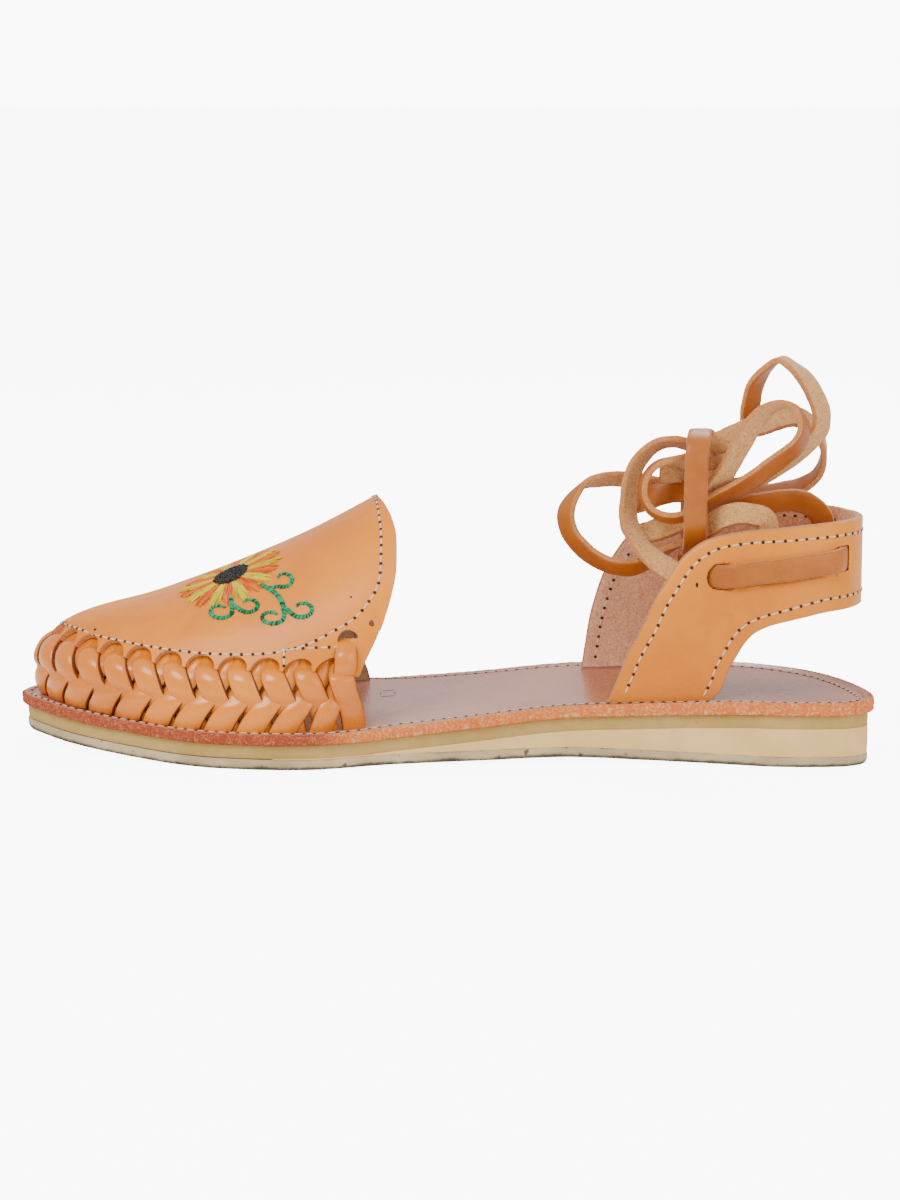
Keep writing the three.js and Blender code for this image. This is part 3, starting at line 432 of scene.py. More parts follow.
@dataclass
class Dome:
    """The domed form over the toes that the vamp and the plaited wall follow."""

    bed: Footbed
    feather_inset: float = 4.6
    toe_inset: float = 2.8
    reach: float = 104.0
    vamp: float = 1.8
    toe_height: float = 26.0
    throat_height: float = 60.5
    ridge_shift: float = 2.5
    lean: float = 6.0
    inner_lean_loss: float = 1.0

    def __post_init__(self) -> None:
        """Measure the feather line and prepare the section tables."""
        throat = self.bed.toe + self.reach
        turns = np.linspace(0.02, 0.4, 2000)
        xs = self.bed.edge(turns, self.feather_inset)[:, 0]
        outer = float(np.interp(throat, xs, turns))
        xs = self.bed.edge(-turns, self.feather_inset)[:, 0]
        inner = -float(np.interp(throat, xs, turns))
        self.turns = np.linspace(outer, inner, 2401)
        near_toe = 1.0 - smooth_step(np.abs(self.turns), 0.0, 0.13)
        self.foot_points = self.bed.edge(self.turns, self.feather_inset + self.toe_inset * near_toe)
        steps = np.linalg.norm(np.diff(self.foot_points, axis=0), axis=1)
        self.lengths = np.concatenate(([0.0], np.cumsum(steps)))
        self.total = float(self.lengths[-1])
        self.toe_length = float(np.interp(0.0, -self.turns, self.lengths))
        t = (0.0, 0.11, 0.22, 0.34, 0.46, 0.57, 0.68, 0.8, 0.9, 1.0)
        self.rise = TableCurve(t, (0, 0.12, 0.26, 0.42, 0.58, 0.73, 0.86, 0.95, 0.99, 1.0))
        self.side = TableCurve(t, (0, -0.015, -0.01, 0.04, 0.135, 0.27, 0.45, 0.66, 0.84, 1.0))
        self.toe_in = TableCurve(t, (0, -0.06, -0.1, -0.1, -0.02, 0.13, 0.35, 0.66, 0.88, 1.0))
        self.leaning = TableCurve(t, (-1.0, -0.8, -0.33, 0.44, 1.02, 1.26, 1.16, 0.78, 0.36, 0.0))
        share = (0.0, 0.15, 0.3, 0.45, 0.6, 0.75, 0.88, 1.0)
        self.ridge_along = TableCurve(share, (0.22, 0.27, 0.36, 0.475, 0.61, 0.75, 0.88, 1.0))
        self.ridge_rise = TableCurve(share, (0.0, 0.055, 0.14, 0.285, 0.45, 0.63, 0.82, 1.0))
        self.t_table = np.linspace(0.0, 1.0, 801)
        self.rise_table = self.rise(self.t_table)

    def share(self, length: Array) -> Array:
        """Share of the way from the toe to the throat at lengths along the feather line."""
        length = np.asarray(length, float)
        outer = 1.0 - length / self.toe_length
        inner = (length - self.toe_length) / (self.total - self.toe_length)
        return np.where(length < self.toe_length, outer, inner)

    def length(self, side: int, share: Array) -> Array:
        """Length along the feather line for a share on the outer (-1) or inner (1) side."""
        share = np.asarray(share, float)
        if side < 0:
            return self.toe_length * (1.0 - share)
        return self.toe_length + share * (self.total - self.toe_length)

    def foot(self, length: Array) -> Array:
        """Points where the wall stands on the insole."""
        points = np.stack([np.interp(length, self.lengths, self.foot_points[:, i]) for i in (0, 1)], -1)
        over = np.clip(length, self.lengths[0], self.lengths[-1])
        ends = np.where((length < 0)[..., None], self.foot_points[0] - self.foot_points[20],
                        self.foot_points[-1] - self.foot_points[-21])
        points = points + unit(ends)[..., :2] * np.abs(length - over)[..., None]
        z = self.bed.insole_top(points[..., 0]) + self.bed.seam
        return np.concatenate((points, z[..., None]), -1)

    def ridge(self, share: Array) -> Array:
        """Points of the ridge over the foot."""
        x = self.bed.toe + self.feather_inset + (self.reach - self.feather_inset) * self.ridge_along(share)
        y = self.ridge_shift * share
        height = blend(self.toe_height, self.throat_height, self.ridge_rise(share))
        return np.stack((x, y, self.bed.insole_top(x) + self.bed.seam + height), -1)

    def middle(self, length: Array, t: Array) -> Array:
        """Points of the middle surface.

        Args:
            length: lengths along the feather line.
            t: places up the section, 0 at the foot and 1 at the ridge.

        Returns:
            Points, in the shape of the two with a last axis of three.
        """
        length, t = np.broadcast_arrays(np.asarray(length, float), np.asarray(t, float))
        share = self.share(length)
        foot, ridge = self.foot(length), self.ridge(share)
        sideness = smooth_step(share, 0.1, 0.75)
        inward = blend(self.toe_in(t), self.side(t), sideness)
        held_back = smooth_step(t, 0.12, 0.42) * (length > self.toe_length)
        lean = self.lean * self.leaning(t) * share**3 * (1.0 - self.inner_lean_loss * held_back)
        x = blend(foot[..., 0], ridge[..., 0], inward) + lean
        y = blend(foot[..., 1], ridge[..., 1], inward)
        return np.stack((x, y, blend(foot[..., 2], ridge[..., 2], self.rise(t))), -1)

    def drift(self, length: Array, t: Array, top: Array) -> Array:
        """Length by which the lean shifts an outer strip at t against its slot at top."""
        outer = np.where(np.asarray(length) < self.toe_length, 1.0, 0.0)
        return outer * self.lean * (self.leaning(t) - self.leaning(top)) * self.share(length) ** 3

    def point(self, length: Array, t: Array, out: Array | float = 0.0) -> Array:
        """Points at a distance out of the middle surface."""
        length, t = np.broadcast_arrays(np.asarray(length, float), np.asarray(t, float))
        step = 0.02
        near = np.clip(t, step, 1.0 - step)
        along = self.middle(length + 1.0, near) - self.middle(length - 1.0, near)
        up = self.middle(length, near + step) - self.middle(length, near - step)
        normal = unit(np.cross(up, along))
        return self.middle(length, t) + normal * np.broadcast_to(out, length.shape)[..., None]

    def place(self, length: Array, height: Array) -> Array:
        """Place up the section that lies a height above the foot."""
        full = self.ridge(self.share(length))[..., 2] - self.foot(np.asarray(length, float))[..., 2]
        return np.interp(height / full, self.rise_table, self.t_table)


@dataclass
class Weave:
    """Places of the plaited strips and of the scallops that they enter."""

    dome: Dome
    height: float = 20.5
    scallop_height: float = 3.6
    scallop_width: float = 8.6
    width: float = 7.7
    thickness: float = 1.9
    lift: float = 0.8
    pitch: float = 9.4
    out_reach: float = 6.3
    back_reach: float = 12.9
    strap_height: float = 24.6
    strap_reach: float = 8.4
    corner_drop: float = 2.2

    def __post_init__(self) -> None:
        """Share the slots out along the feather line."""
        self.first = self.out_reach + 3.9
        self.last = self.dome.total - self.back_reach - 3.9
        count = round((self.last - self.first) / self.pitch) + 1
        self.slots = np.linspace(self.first, self.last, count)
        seam, vamp = self.dome.bed.seam, self.dome.vamp
        self.behind = -(vamp + self.thickness) / 2 - 2 * seam
        self.over = (vamp + self.thickness) / 2 + seam

    @property
    def edge(self) -> float:
        """Height of the vamp's lower edge between two scallops."""
        return self.height - self.scallop_height

    def edge_height(self, length: Array) -> Array:
        """Height of the vamp's lower edge, arched over each slot."""
        away = np.min(np.abs(np.asarray(length)[..., None] - self.slots), axis=-1)
        share = np.clip(1.0 - (away / (self.scallop_width / 2)) ** 2, 0.0, 1.0)
        outside = np.maximum(self.slots[0] - length, length - self.slots[-1]) - self.scallop_width / 2
        corner = smooth_step(outside, 0.0, 3.2)
        return self.edge + self.scallop_height * share**0.5 - self.corner_drop * corner


# Looks

class Tree:
    """Adds and wires the nodes of a tree."""

    def __init__(self, tree: bpy.types.NodeTree) -> None:
        """Keep the tree."""
        self.tree = tree

    def add(self, kind: str, values: dict | None = None, **options: object) -> bpy.types.Node:
        """Add a node.

        Args:
            kind: the node's type.
            values: input values by name or number.
            options: properties of the node.

        Returns:
            The node.
        """
        node = self.tree.nodes.new(kind)
        for name, value in options.items():
            setattr(node, name, value)
        for key, value in (values or {}).items():
            node.inputs[key].default_value = value
        return node

    def link(self, source: bpy.types.NodeSocket, target: bpy.types.NodeSocket) -> None:
        """Wire an output to an input."""
        self.tree.links.new(source, target)

    def sum(self, kind: str, a: object, b: object = 0.0, c: object = 0.0) -> bpy.types.NodeSocket:
        """Work out one number.

        Args:
            kind: operation of the math node.
            a: first socket or number.
            b: second socket or number.
            c: third socket or number.

        Returns:
            The result's socket.
        """
        node = self.add("ShaderNodeMath", operation=kind)
        for i, value in enumerate((a, b, c)):
            if isinstance(value, bpy.types.NodeSocket):
                self.link(value, node.inputs[i])
            else:
                node.inputs[i].default_value = value
        return node.outputs[0]

    def mix(self, share: object, low: object, high: object, kind: str = "MIX") -> bpy.types.NodeSocket:
        """Mix two colours.

        Args:
            share: socket or number.
            low: colour or socket at 0.
            high: colour or socket at 1.
            kind: how they mix.

        Returns:
            The colour's socket.
        """
        node = self.add("ShaderNodeMix", data_type="RGBA", blend_type=kind)
        for i, value in ((0, share), (6, low), (7, high)):
            if isinstance(value, bpy.types.NodeSocket):
                self.link(value, node.inputs[i])
            else:
                node.inputs[i].default_value = value
        return node.outputs[2]

    def span(self, value: bpy.types.NodeSocket, low: float, high: float,
             to_low: float = 0.0, to_high: float = 1.0) -> bpy.types.NodeSocket:
        """Map a number from one span to another, smoothly and clamped."""
        node = self.add("ShaderNodeMapRange", {1: low, 2: high, 3: to_low, 4: to_high},
                        interpolation_type="SMOOTHSTEP")
        self.link(value, node.inputs[0])
        return node.outputs[0]

    def noise(self, place: bpy.types.NodeSocket, scale: object, detail: float = 3.0,
              rough: float = 0.55, twist: float = 0.0) -> bpy.types.NodeSocket:
        """Cloudy noise over a place."""
        node = self.add("ShaderNodeTexNoise", {"Detail": detail, "Roughness": rough, "Distortion": twist})
        self.link(place, node.inputs["Vector"])
        if isinstance(scale, bpy.types.NodeSocket):
            self.link(scale, node.inputs["Scale"])
        else:
            node.inputs["Scale"].default_value = scale
        return node.outputs["Fac"]


def effect_group(name: str, inputs: dict[str, float], outputs: Sequence[str],
                 build: Callable[[Tree, bpy.types.Node, bpy.types.Node], None]) -> bpy.types.NodeTree:
    """Make a shader node group.

    Args:
        name: its name.
        inputs: its number inputs with their defaults.
        outputs: its number outputs.
        build: fills it between its input and output nodes.

    Returns:
        The group.
    """
    group = bpy.data.node_groups.new(name, "ShaderNodeTree")
    for key, value in inputs.items():
        socket = group.interface.new_socket(name=key, in_out="INPUT", socket_type="NodeSocketFloat")
        socket.default_value = value
    for key in outputs:
        group.interface.new_socket(name=key, in_out="OUTPUT", socket_type="NodeSocketFloat")
    tree = Tree(group)
    build(tree, tree.add("NodeGroupInput"), tree.add("NodeGroupOutput"))
    return group


def build_grain(tree: Tree, given: bpy.types.Node, result: bpy.types.Node) -> None:
    """Fine pores of smooth leather and its slow changes of tone."""
    place = tree.add("ShaderNodeTexCoord").outputs["Object"]
    cells = tree.add("ShaderNodeTexVoronoi", feature="SMOOTH_F1")
    tree.link(place, cells.inputs["Vector"])
    tree.link(given.outputs["Pores"], cells.inputs["Scale"])
    fine = tree.noise(place, tree.sum("MULTIPLY", given.outputs["Pores"], 0.45), 4.0, 0.65)
    pores = tree.sum("MULTIPLY_ADD", cells.outputs["Distance"], 0.55, tree.sum("MULTIPLY", fine, 0.6))
    tree.link(pores, result.inputs["Height"])
    slow = tree.noise(place, given.outputs["Clouds"], 5.0, 0.6, 0.4)
    tree.link(tree.span(slow, 0.3, 0.72), result.inputs["Tone"])
    streaks = tree.noise(place, tree.sum("MULTIPLY", given.outputs["Clouds"], 7.0), 3.0, 0.7, 1.5)
    tree.link(tree.span(streaks, 0.56, 0.8), result.inputs["Scuff"])


def build_fibre(tree: Tree, given: bpy.types.Node, result: bpy.types.Node) -> None:
    """Loose fibres of a flesh side or a cut edge."""
    place = tree.add("ShaderNodeTexCoord").outputs["Object"]
    coarse = tree.noise(place, given.outputs["Scale"], 6.0, 0.72, 2.2)
    fine = tree.noise(place, tree.sum("MULTIPLY", given.outputs["Scale"], 3.1), 3.0, 0.7, 1.0)
    both = tree.sum("MULTIPLY_ADD", fine, 0.45, tree.sum("MULTIPLY", coarse, 0.75))
    tree.link(both, result.inputs["Height"])
    tree.link(tree.span(both, 0.42, 0.78), result.inputs["Tone"])


def build_foam(tree: Tree, given: bpy.types.Node, result: bpy.types.Node) -> None:
    """Sanded expanded rubber with specks."""
    place = tree.add("ShaderNodeTexCoord").outputs["Object"]
    fine = tree.noise(place, given.outputs["Scale"], 5.0, 0.7)
    tree.link(fine, result.inputs["Height"])
    tree.link(tree.span(tree.noise(place, 60.0, 4.0, 0.6), 0.3, 0.7), result.inputs["Tone"])
    specks = tree.noise(place, tree.sum("MULTIPLY", given.outputs["Scale"], 0.35), 2.0, 0.5)
    tree.link(tree.span(specks, 0.66, 0.74), result.inputs["Specks"])


class Effects:
    """Node groups shared by the finishes."""

    def __init__(self) -> None:
        """Build each group once."""
        self.grain = effect_group("leather_grain", {"Pores": 1500.0, "Clouds": 22.0},
                                  ("Height", "Tone", "Scuff"), build_grain)
        self.fibre = effect_group("loose_fibre", {"Scale": 900.0}, ("Height", "Tone"), build_fibre)
        self.foam = effect_group("sanded_foam", {"Scale": 1500.0}, ("Height", "Tone", "Specks"), build_foam)


def new_material(name: str, group: bpy.types.NodeTree | None, values: dict[str, float]
                 ) -> tuple[bpy.types.Material, Tree, bpy.types.Node, bpy.types.Node | None]:
    """Start a material with its shader and one effect group.

    Args:
        name: its name.
        group: the effect group, if it has one.
        values: inputs of that group.

    Returns:
        The material, its tree, its shader and the group's node.
    """
    material = bpy.data.materials.new(name)
    material.use_nodes = True
    tree = Tree(material.node_tree)
    shader = material.node_tree.nodes["Principled BSDF"]
    node = None
    if group:
        node = tree.add("ShaderNodeGroup", node_tree=group)
        for key, value in values.items():
            node.inputs[key].default_value = value
    return material, tree, shader, node


def bump(tree: Tree, shader: bpy.types.Node, height: bpy.types.NodeSocket, depth: float,
         strength: float = 1.0) -> None:
    """Feed a height in as a bump of a depth in millimetres."""
    node = tree.add("ShaderNodeBump", {"Strength": strength, "Distance": depth * MM})
    tree.link(height, node.inputs["Height"])
    tree.link(node.outputs["Normal"], shader.inputs["Normal"])


@dataclass(frozen=True)
class SmoothLeather:
    """Waxed grain side: two tones, darker at the marked edges."""

    name: str
    light: tuple
    dark: tuple
    roughness: float = 0.34
    coat: float = 0.25
    pores: float = 1500.0
    clouds: float = 22.0
    depth: float = 0.05
    edge: float = 0.0
    edge_colour: tuple = srgb(120, 62, 26)

    def build(self, effects: Effects) -> bpy.types.Material:
        """Make the material."""
        material, tree, shader, grain = new_material(
            self.name, effects.grain, {"Pores": self.pores, "Clouds": self.clouds})
        colour = tree.mix(grain.outputs["Tone"], self.light, self.dark)
        scuff = tree.sum("MULTIPLY", grain.outputs["Scuff"], 0.18)
        colour = tree.mix(scuff, colour, self.edge_colour)
        if self.edge > 0.0:
            marks = tree.add("ShaderNodeUVMap", uv_map="along")
            parts = tree.add("ShaderNodeSeparateXYZ")
            tree.link(marks.outputs["UV"], parts.inputs[0])
            near = tree.span(parts.outputs[0], 1.0 - self.edge, 1.0)
            colour = tree.mix(tree.sum("MULTIPLY", near, 0.75), colour, self.edge_colour)
            tone = tree.sum("MULTIPLY", parts.outputs[1], 0.3)
            colour = tree.mix(tone, colour, self.dark)
        tree.link(colour, shader.inputs["Base Color"])
        rough = tree.sum("MULTIPLY_ADD", grain.outputs["Scuff"], 0.15, self.roughness)
        tree.link(rough, shader.inputs["Roughness"])
        shader.inputs["Coat Weight"].default_value = self.coat
        shader.inputs["Coat Roughness"].default_value = 0.22
        shader.inputs["Specular IOR Level"].default_value = 0.35
        bump(tree, shader, grain.outputs["Height"], self.depth)
        return material


@dataclass(frozen=True)
class Flesh:
    """Rough flesh side or cut edge of leather."""

    name: str
    light: tuple
    dark: tuple
    scale: float = 900.0
    depth: float = 0.25
    sheen: float = 0.25

    def build(self, effects: Effects) -> bpy.types.Material:
        """Make the material."""
        material, tree, shader, fibre = new_material(self.name, effects.fibre, {"Scale": self.scale})
        tree.link(tree.mix(fibre.outputs["Tone"], self.dark, self.light), shader.inputs["Base Color"])
        shader.inputs["Roughness"].default_value = 0.92
        shader.inputs["Sheen Weight"].default_value = self.sheen
        shader.inputs["Sheen Roughness"].default_value = 0.5
        bump(tree, shader, fibre.outputs["Height"], self.depth)
        return material


@dataclass(frozen=True)
class RawEdge:
    """Cut edge of the insole: red-brown dye ahead of a place along it, bare leather behind."""

    name: str
    dyed: tuple
    bare: tuple
    pale: tuple
    change: float = -28.0

    def build(self, effects: Effects) -> bpy.types.Material:
        """Make the material."""
        material, tree, shader, fibre = new_material(self.name, effects.fibre, {"Scale": 620.0})
        place = tree.add("ShaderNodeTexCoord").outputs["Object"]
        parts = tree.add("ShaderNodeSeparateXYZ")
        tree.link(place, parts.inputs[0])
        behind = tree.span(parts.outputs[0], (self.change - 9.0) * MM, (self.change + 9.0) * MM)
        base = tree.mix(behind, self.dyed, self.bare)
        flecks = tree.span(fibre.outputs["Tone"], 0.45, 0.95)
        weak = tree.sum("MULTIPLY", flecks, tree.span(behind, 0.0, 1.0, 0.28, 0.7))
        tree.link(tree.mix(weak, base, self.pale), shader.inputs["Base Color"])
        shader.inputs["Roughness"].default_value = 0.8
        bump(tree, shader, fibre.outputs["Height"], 0.5)
        return material


@dataclass(frozen=True)
class Insert:
    """Glazed footbed leather: greyish in front, browner at the heel."""

    name: str
    front: tuple
    back: tuple
    change: float = 35.0

    def build(self, effects: Effects) -> bpy.types.Material:
        """Make the material."""
        material, tree, shader, grain = new_material(
            self.name, effects.grain, {"Pores": 900.0, "Clouds": 16.0})
        parts = tree.add("ShaderNodeSeparateXYZ")
        tree.link(tree.add("ShaderNodeTexCoord").outputs["Object"], parts.inputs[0])
        behind = tree.span(parts.outputs[0], (self.change - 60.0) * MM, (self.change + 60.0) * MM)
        worn = tuple(0.8 * part for part in self.back[:3]) + (1.0,)
        colour = tree.mix(behind, self.front, self.back)
        colour = tree.mix(tree.sum("MULTIPLY", grain.outputs["Tone"], 0.45), colour, worn)
        tree.link(colour, shader.inputs["Base Color"])
        tree.link(tree.sum("MULTIPLY_ADD", grain.outputs["Scuff"], 0.2, 0.24), shader.inputs["Roughness"])
        shader.inputs["Coat Weight"].default_value = 0.12
        shader.inputs["Coat Roughness"].default_value = 0.2
        shader.inputs["Specular IOR Level"].default_value = 0.35
        bump(tree, shader, grain.outputs["Height"], 0.08)
        return material


@dataclass(frozen=True)
class Foam:
    """Sanded side of a rubber layer."""

    name: str
    light: tuple
    dark: tuple
    speck: tuple
    specks: float = 0.3
    scale: float = 1500.0
    depth: float = 0.12
    low_darkening: float = 0.0

    def build(self, effects: Effects) -> bpy.types.Material:
        """Make the material."""
        material, tree, shader, foam = new_material(self.name, effects.foam, {"Scale": self.scale})
        colour = tree.mix(foam.outputs["Tone"], self.light, self.dark)
        speck = tree.sum("MULTIPLY", foam.outputs["Specks"], self.specks)
        colour = tree.mix(speck, colour, self.speck)
        # Darker towards the bottom of the layer, in patches, mixing towards the speck colour.
        if self.low_darkening > 0.0:
            parts = tree.add("ShaderNodeSeparateXYZ")
            tree.link(tree.add("ShaderNodeUVMap", uv_map="along").outputs["UV"], parts.inputs[0])
            patchy = tree.noise(tree.add("ShaderNodeTexCoord").outputs["Object"], 110.0, 5.0, 0.7)
            level = tree.sum("MULTIPLY_ADD", patchy, -0.9, parts.outputs[0])
            low_darkness = tree.span(level, 0.02, -0.34, 0.0, self.low_darkening)
            colour = tree.mix(low_darkness, colour, self.speck)
        tree.link(colour, shader.inputs["Base Color"])
        shader.inputs["Roughness"].default_value = 0.9
        bump(tree, shader, foam.outputs["Height"], self.depth)
        return material


@dataclass(frozen=True)
class Thread:
    """Twisted sewing thread, or dark painted shade for a needle's prick or a hole."""

    name: str
    colour: tuple
    roughness: float = 0.75
    twist: float = 0.0

    def build(self, effects: Effects) -> bpy.types.Material:
        """Make the material."""
        material, tree, shader, fibre = new_material(self.name, effects.fibre, {"Scale": 2600.0})
        shade = tuple(0.62 * part for part in self.colour[:3]) + (1.0,)
        tree.link(tree.mix(fibre.outputs["Tone"], shade, self.colour), shader.inputs["Base Color"])
        shader.inputs["Roughness"].default_value = self.roughness
        bump(tree, shader, fibre.outputs["Height"], 0.08)
        return material


@dataclass(frozen=True)
class Embroidery:
    """Glossy embroidery thread whose colour is painted on its points."""

    name: str

    def build(self, effects: Effects) -> bpy.types.Material:
        """Make the material."""
        material, tree, shader, fibre = new_material(self.name, effects.fibre, {"Scale": 2400.0})
        painted = tree.add("ShaderNodeAttribute", attribute_name="thread_colour")
        dim = tree.mix(1.0, painted.outputs["Color"], (0.7, 0.7, 0.7, 1.0), "MULTIPLY")
        colour = tree.mix(fibre.outputs["Tone"], dim, painted.outputs["Color"])
        tree.link(colour, shader.inputs["Base Color"])
        shader.inputs["Roughness"].default_value = 0.5
        shader.inputs["Specular IOR Level"].default_value = 0.2
        bump(tree, shader, fibre.outputs["Height"], 0.05)
        return material


class Palette:
    """Every finish of the sandal."""

    def __init__(self) -> None:
        """Build the shared effects and the materials."""
        fx = Effects()
        self.vamp = SmoothLeather("vamp_leather", srgb(238, 138, 2), srgb(216, 116, 0), 0.4, 0.04).build(fx)
        self.strips = SmoothLeather("strip_leather", srgb(240, 138, 4), srgb(212, 112, 0), 0.27, 0.5,
                                    edge=0.12, edge_colour=srgb(98, 40, 8)).build(fx)
        self.band = SmoothLeather("band_leather", srgb(232, 136, 8), srgb(210, 114, 2), 0.42, 0.06).build(fx)
        self.lace = SmoothLeather("lace_leather", srgb(184, 104, 26), srgb(158, 80, 14), 0.45, 0.05,
                                  pores=1900.0, clouds=45.0, edge=0.12).build(fx)
        self.footbed = Insert("footbed_leather", srgb(196, 132, 110), srgb(164, 88, 44)).build(fx)
        self.flesh = Flesh("band_flesh", srgb(252, 204, 164), srgb(206, 134, 94), 700.0, 0.3).build(fx)
        self.lining = Flesh("pale_flesh", srgb(206, 176, 136), srgb(172, 134, 92), 900.0, 0.15).build(fx)
        self.lace_flesh = Flesh("lace_flesh", srgb(240, 186, 116), srgb(184, 116, 54), 800.0, 0.35,
                                0.2).build(fx)
        self.cut = Flesh("cut_edge", srgb(150, 68, 14), srgb(78, 30, 6), 1200.0, 0.1, 0.0).build(fx)
        self.pale_cut = Flesh("pale_cut_edge", srgb(220, 150, 80), srgb(160, 88, 34), 1200.0, 0.12).build(fx)
        self.raw = RawEdge("insole_edge", srgb(164, 60, 18), srgb(222, 112, 36), srgb(252, 200, 136)).build(fx)
        self.midsole = Foam("midsole_foam", srgb(194, 160, 92), srgb(178, 144, 76), srgb(136, 96, 48),
                            0.3).build(fx)
        self.wedge = Foam("wedge_foam", srgb(242, 202, 132), srgb(228, 186, 116), srgb(190, 152, 92),
                          0.2).build(fx)
        self.outsole = Foam("outsole_rubber", srgb(208, 184, 140), srgb(176, 154, 116), srgb(54, 48, 40),
                            0.8, 1100.0, 0.3, low_darkening=0.9).build(fx)
        self.thread = Thread("cream_thread", srgb(238, 222, 196)).build(fx)
        # Dark brown painted shade of the needle pricks between the stitches.
        self.stitch_hole_shade = Thread("needle_hole_shade", srgb(64, 32, 16), 0.9).build(fx)
        self.embroidery = Embroidery("embroidery_thread").build(fx)
        # Near-black painted shade for the insides of holes: the walls of the band's front slots and the discs of
        # the pinholes, the nick and the punched outline.
        self.painted_hole_shade = Thread("hole_shade_finish", srgb(52, 26, 14), 0.9).build(fx)


# Studio

@dataclass
class Studio:
    """Floor, soft lights and the camera at the photograph's viewing angle."""

    camera_place: Row = (48.1, -881.0, 186.4)
    camera_aim: Row = (1.6, 6.0, 41.0)
    lens: float = 92.07
    picture_width: float = 900.0
    picture_height: float = 1200.0
    focal_pixels: float = 3069.0

    def ray(self, right: float, down: float) -> tuple[Array, Array]:
        """Ray from the camera through a pixel of the photograph.

        Args:
            right: pixels from the picture's left side.
            down: pixels from its top.

        Returns:
            Its start in millimetres and its direction.
        """
        start = np.array(self.camera_place)
        ahead = unit(np.array(self.camera_aim) - start)
        across = unit(np.cross(ahead, (0.0, 0.0, 1.0)))
        up = np.cross(across, ahead)
        go = ahead * self.focal_pixels + across * (right - self.picture_width / 2)
        return start, unit(go - up * (down - self.picture_height / 2))

    def build(self) -> None:
        """Make the camera, the lights, the world and the floor."""
        scene = bpy.context.scene
        data = bpy.data.cameras.new("camera")
        data.lens = self.lens
        data.sensor_width = 36.0
        camera = bpy.data.objects.new("camera", data)
        place, aim = Vector(self.camera_place) * MM, Vector(self.camera_aim) * MM
        camera.location = place
        camera.rotation_euler = (aim - place).to_track_quat("-Z", "Y").to_euler()
        scene.collection.objects.link(camera)
        scene.camera = camera
        world = bpy.data.worlds.new("studio")
        world.use_nodes = True
        world.node_tree.nodes["Background"].inputs[0].default_value = (1.0, 1.0, 1.0, 1.0)
        world.node_tree.nodes["Background"].inputs[1].default_value = 0.9
        self.show_white(Tree(world.node_tree), world.node_tree.nodes["Background"].inputs[1], 0.9, 10.0)
        scene.world = world
        self.light("key", (-0.55, -0.75, 0.95), 0.6, 12.0)
        self.light("fill", (0.75, -0.8, 0.5), 0.8, 4.0)
        self.light("rim", (0.25, 0.8, 0.9), 0.6, 9.0)
        mesh = bpy.data.meshes.new("floor")
        far = 60.0
        mesh.from_pydata([(-far, -far, 0), (far, -far, 0), (far, far, 0), (-far, far, 0)], [], [(0, 1, 2, 3)])
        material, tree, shader, _ = new_material("floor", None, {})
        shader.inputs["Base Color"].default_value = (0.93, 0.93, 0.93, 1.0)
        shader.inputs["Roughness"].default_value = 0.7
        shader.inputs["Emission Color"].default_value = (1.0, 1.0, 1.0, 1.0)
        self.show_white(tree, shader.inputs["Emission Strength"], 0.0, 8.0)
        mesh.materials.append(material)
        floor = bpy.data.objects.new("floor", mesh)
        scene.collection.objects.link(floor)

    @staticmethod
    def show_white(tree: Tree, strength: bpy.types.NodeSocket, given: float, seen: float) -> None:
        """Let a backdrop look whiter to the camera than it lights the shoe.

        Args:
            tree: the tree of the world or the floor.
            strength: its strength input.
            given: strength for everything else.
            seen: strength for the camera.
        """
        path = tree.add("ShaderNodeLightPath")
        tree.link(tree.sum("MULTIPLY_ADD", path.outputs["Is Camera Ray"], seen - given, given), strength)

    def light(self, name: str, place: Row, size: float, power: float) -> None:
        """Hang a soft light that shines on the shoe.

        Args:
            name: its name.
            place: where it hangs, in metres.
            size: side of its square face in metres.
            power: its power in watts.
        """
        data = bpy.data.lights.new(name, "AREA")
        data.size = size
        data.energy = power
        lamp = bpy.data.objects.new(name, data)
        lamp.location = place
        lamp.rotation_euler = (Vector((0.0, 0.0, 0.04)) - Vector(place)).to_track_quat("-Z", "Y").to_euler()
        bpy.context.scene.collection.objects.link(lamp)


# Heel band and laces

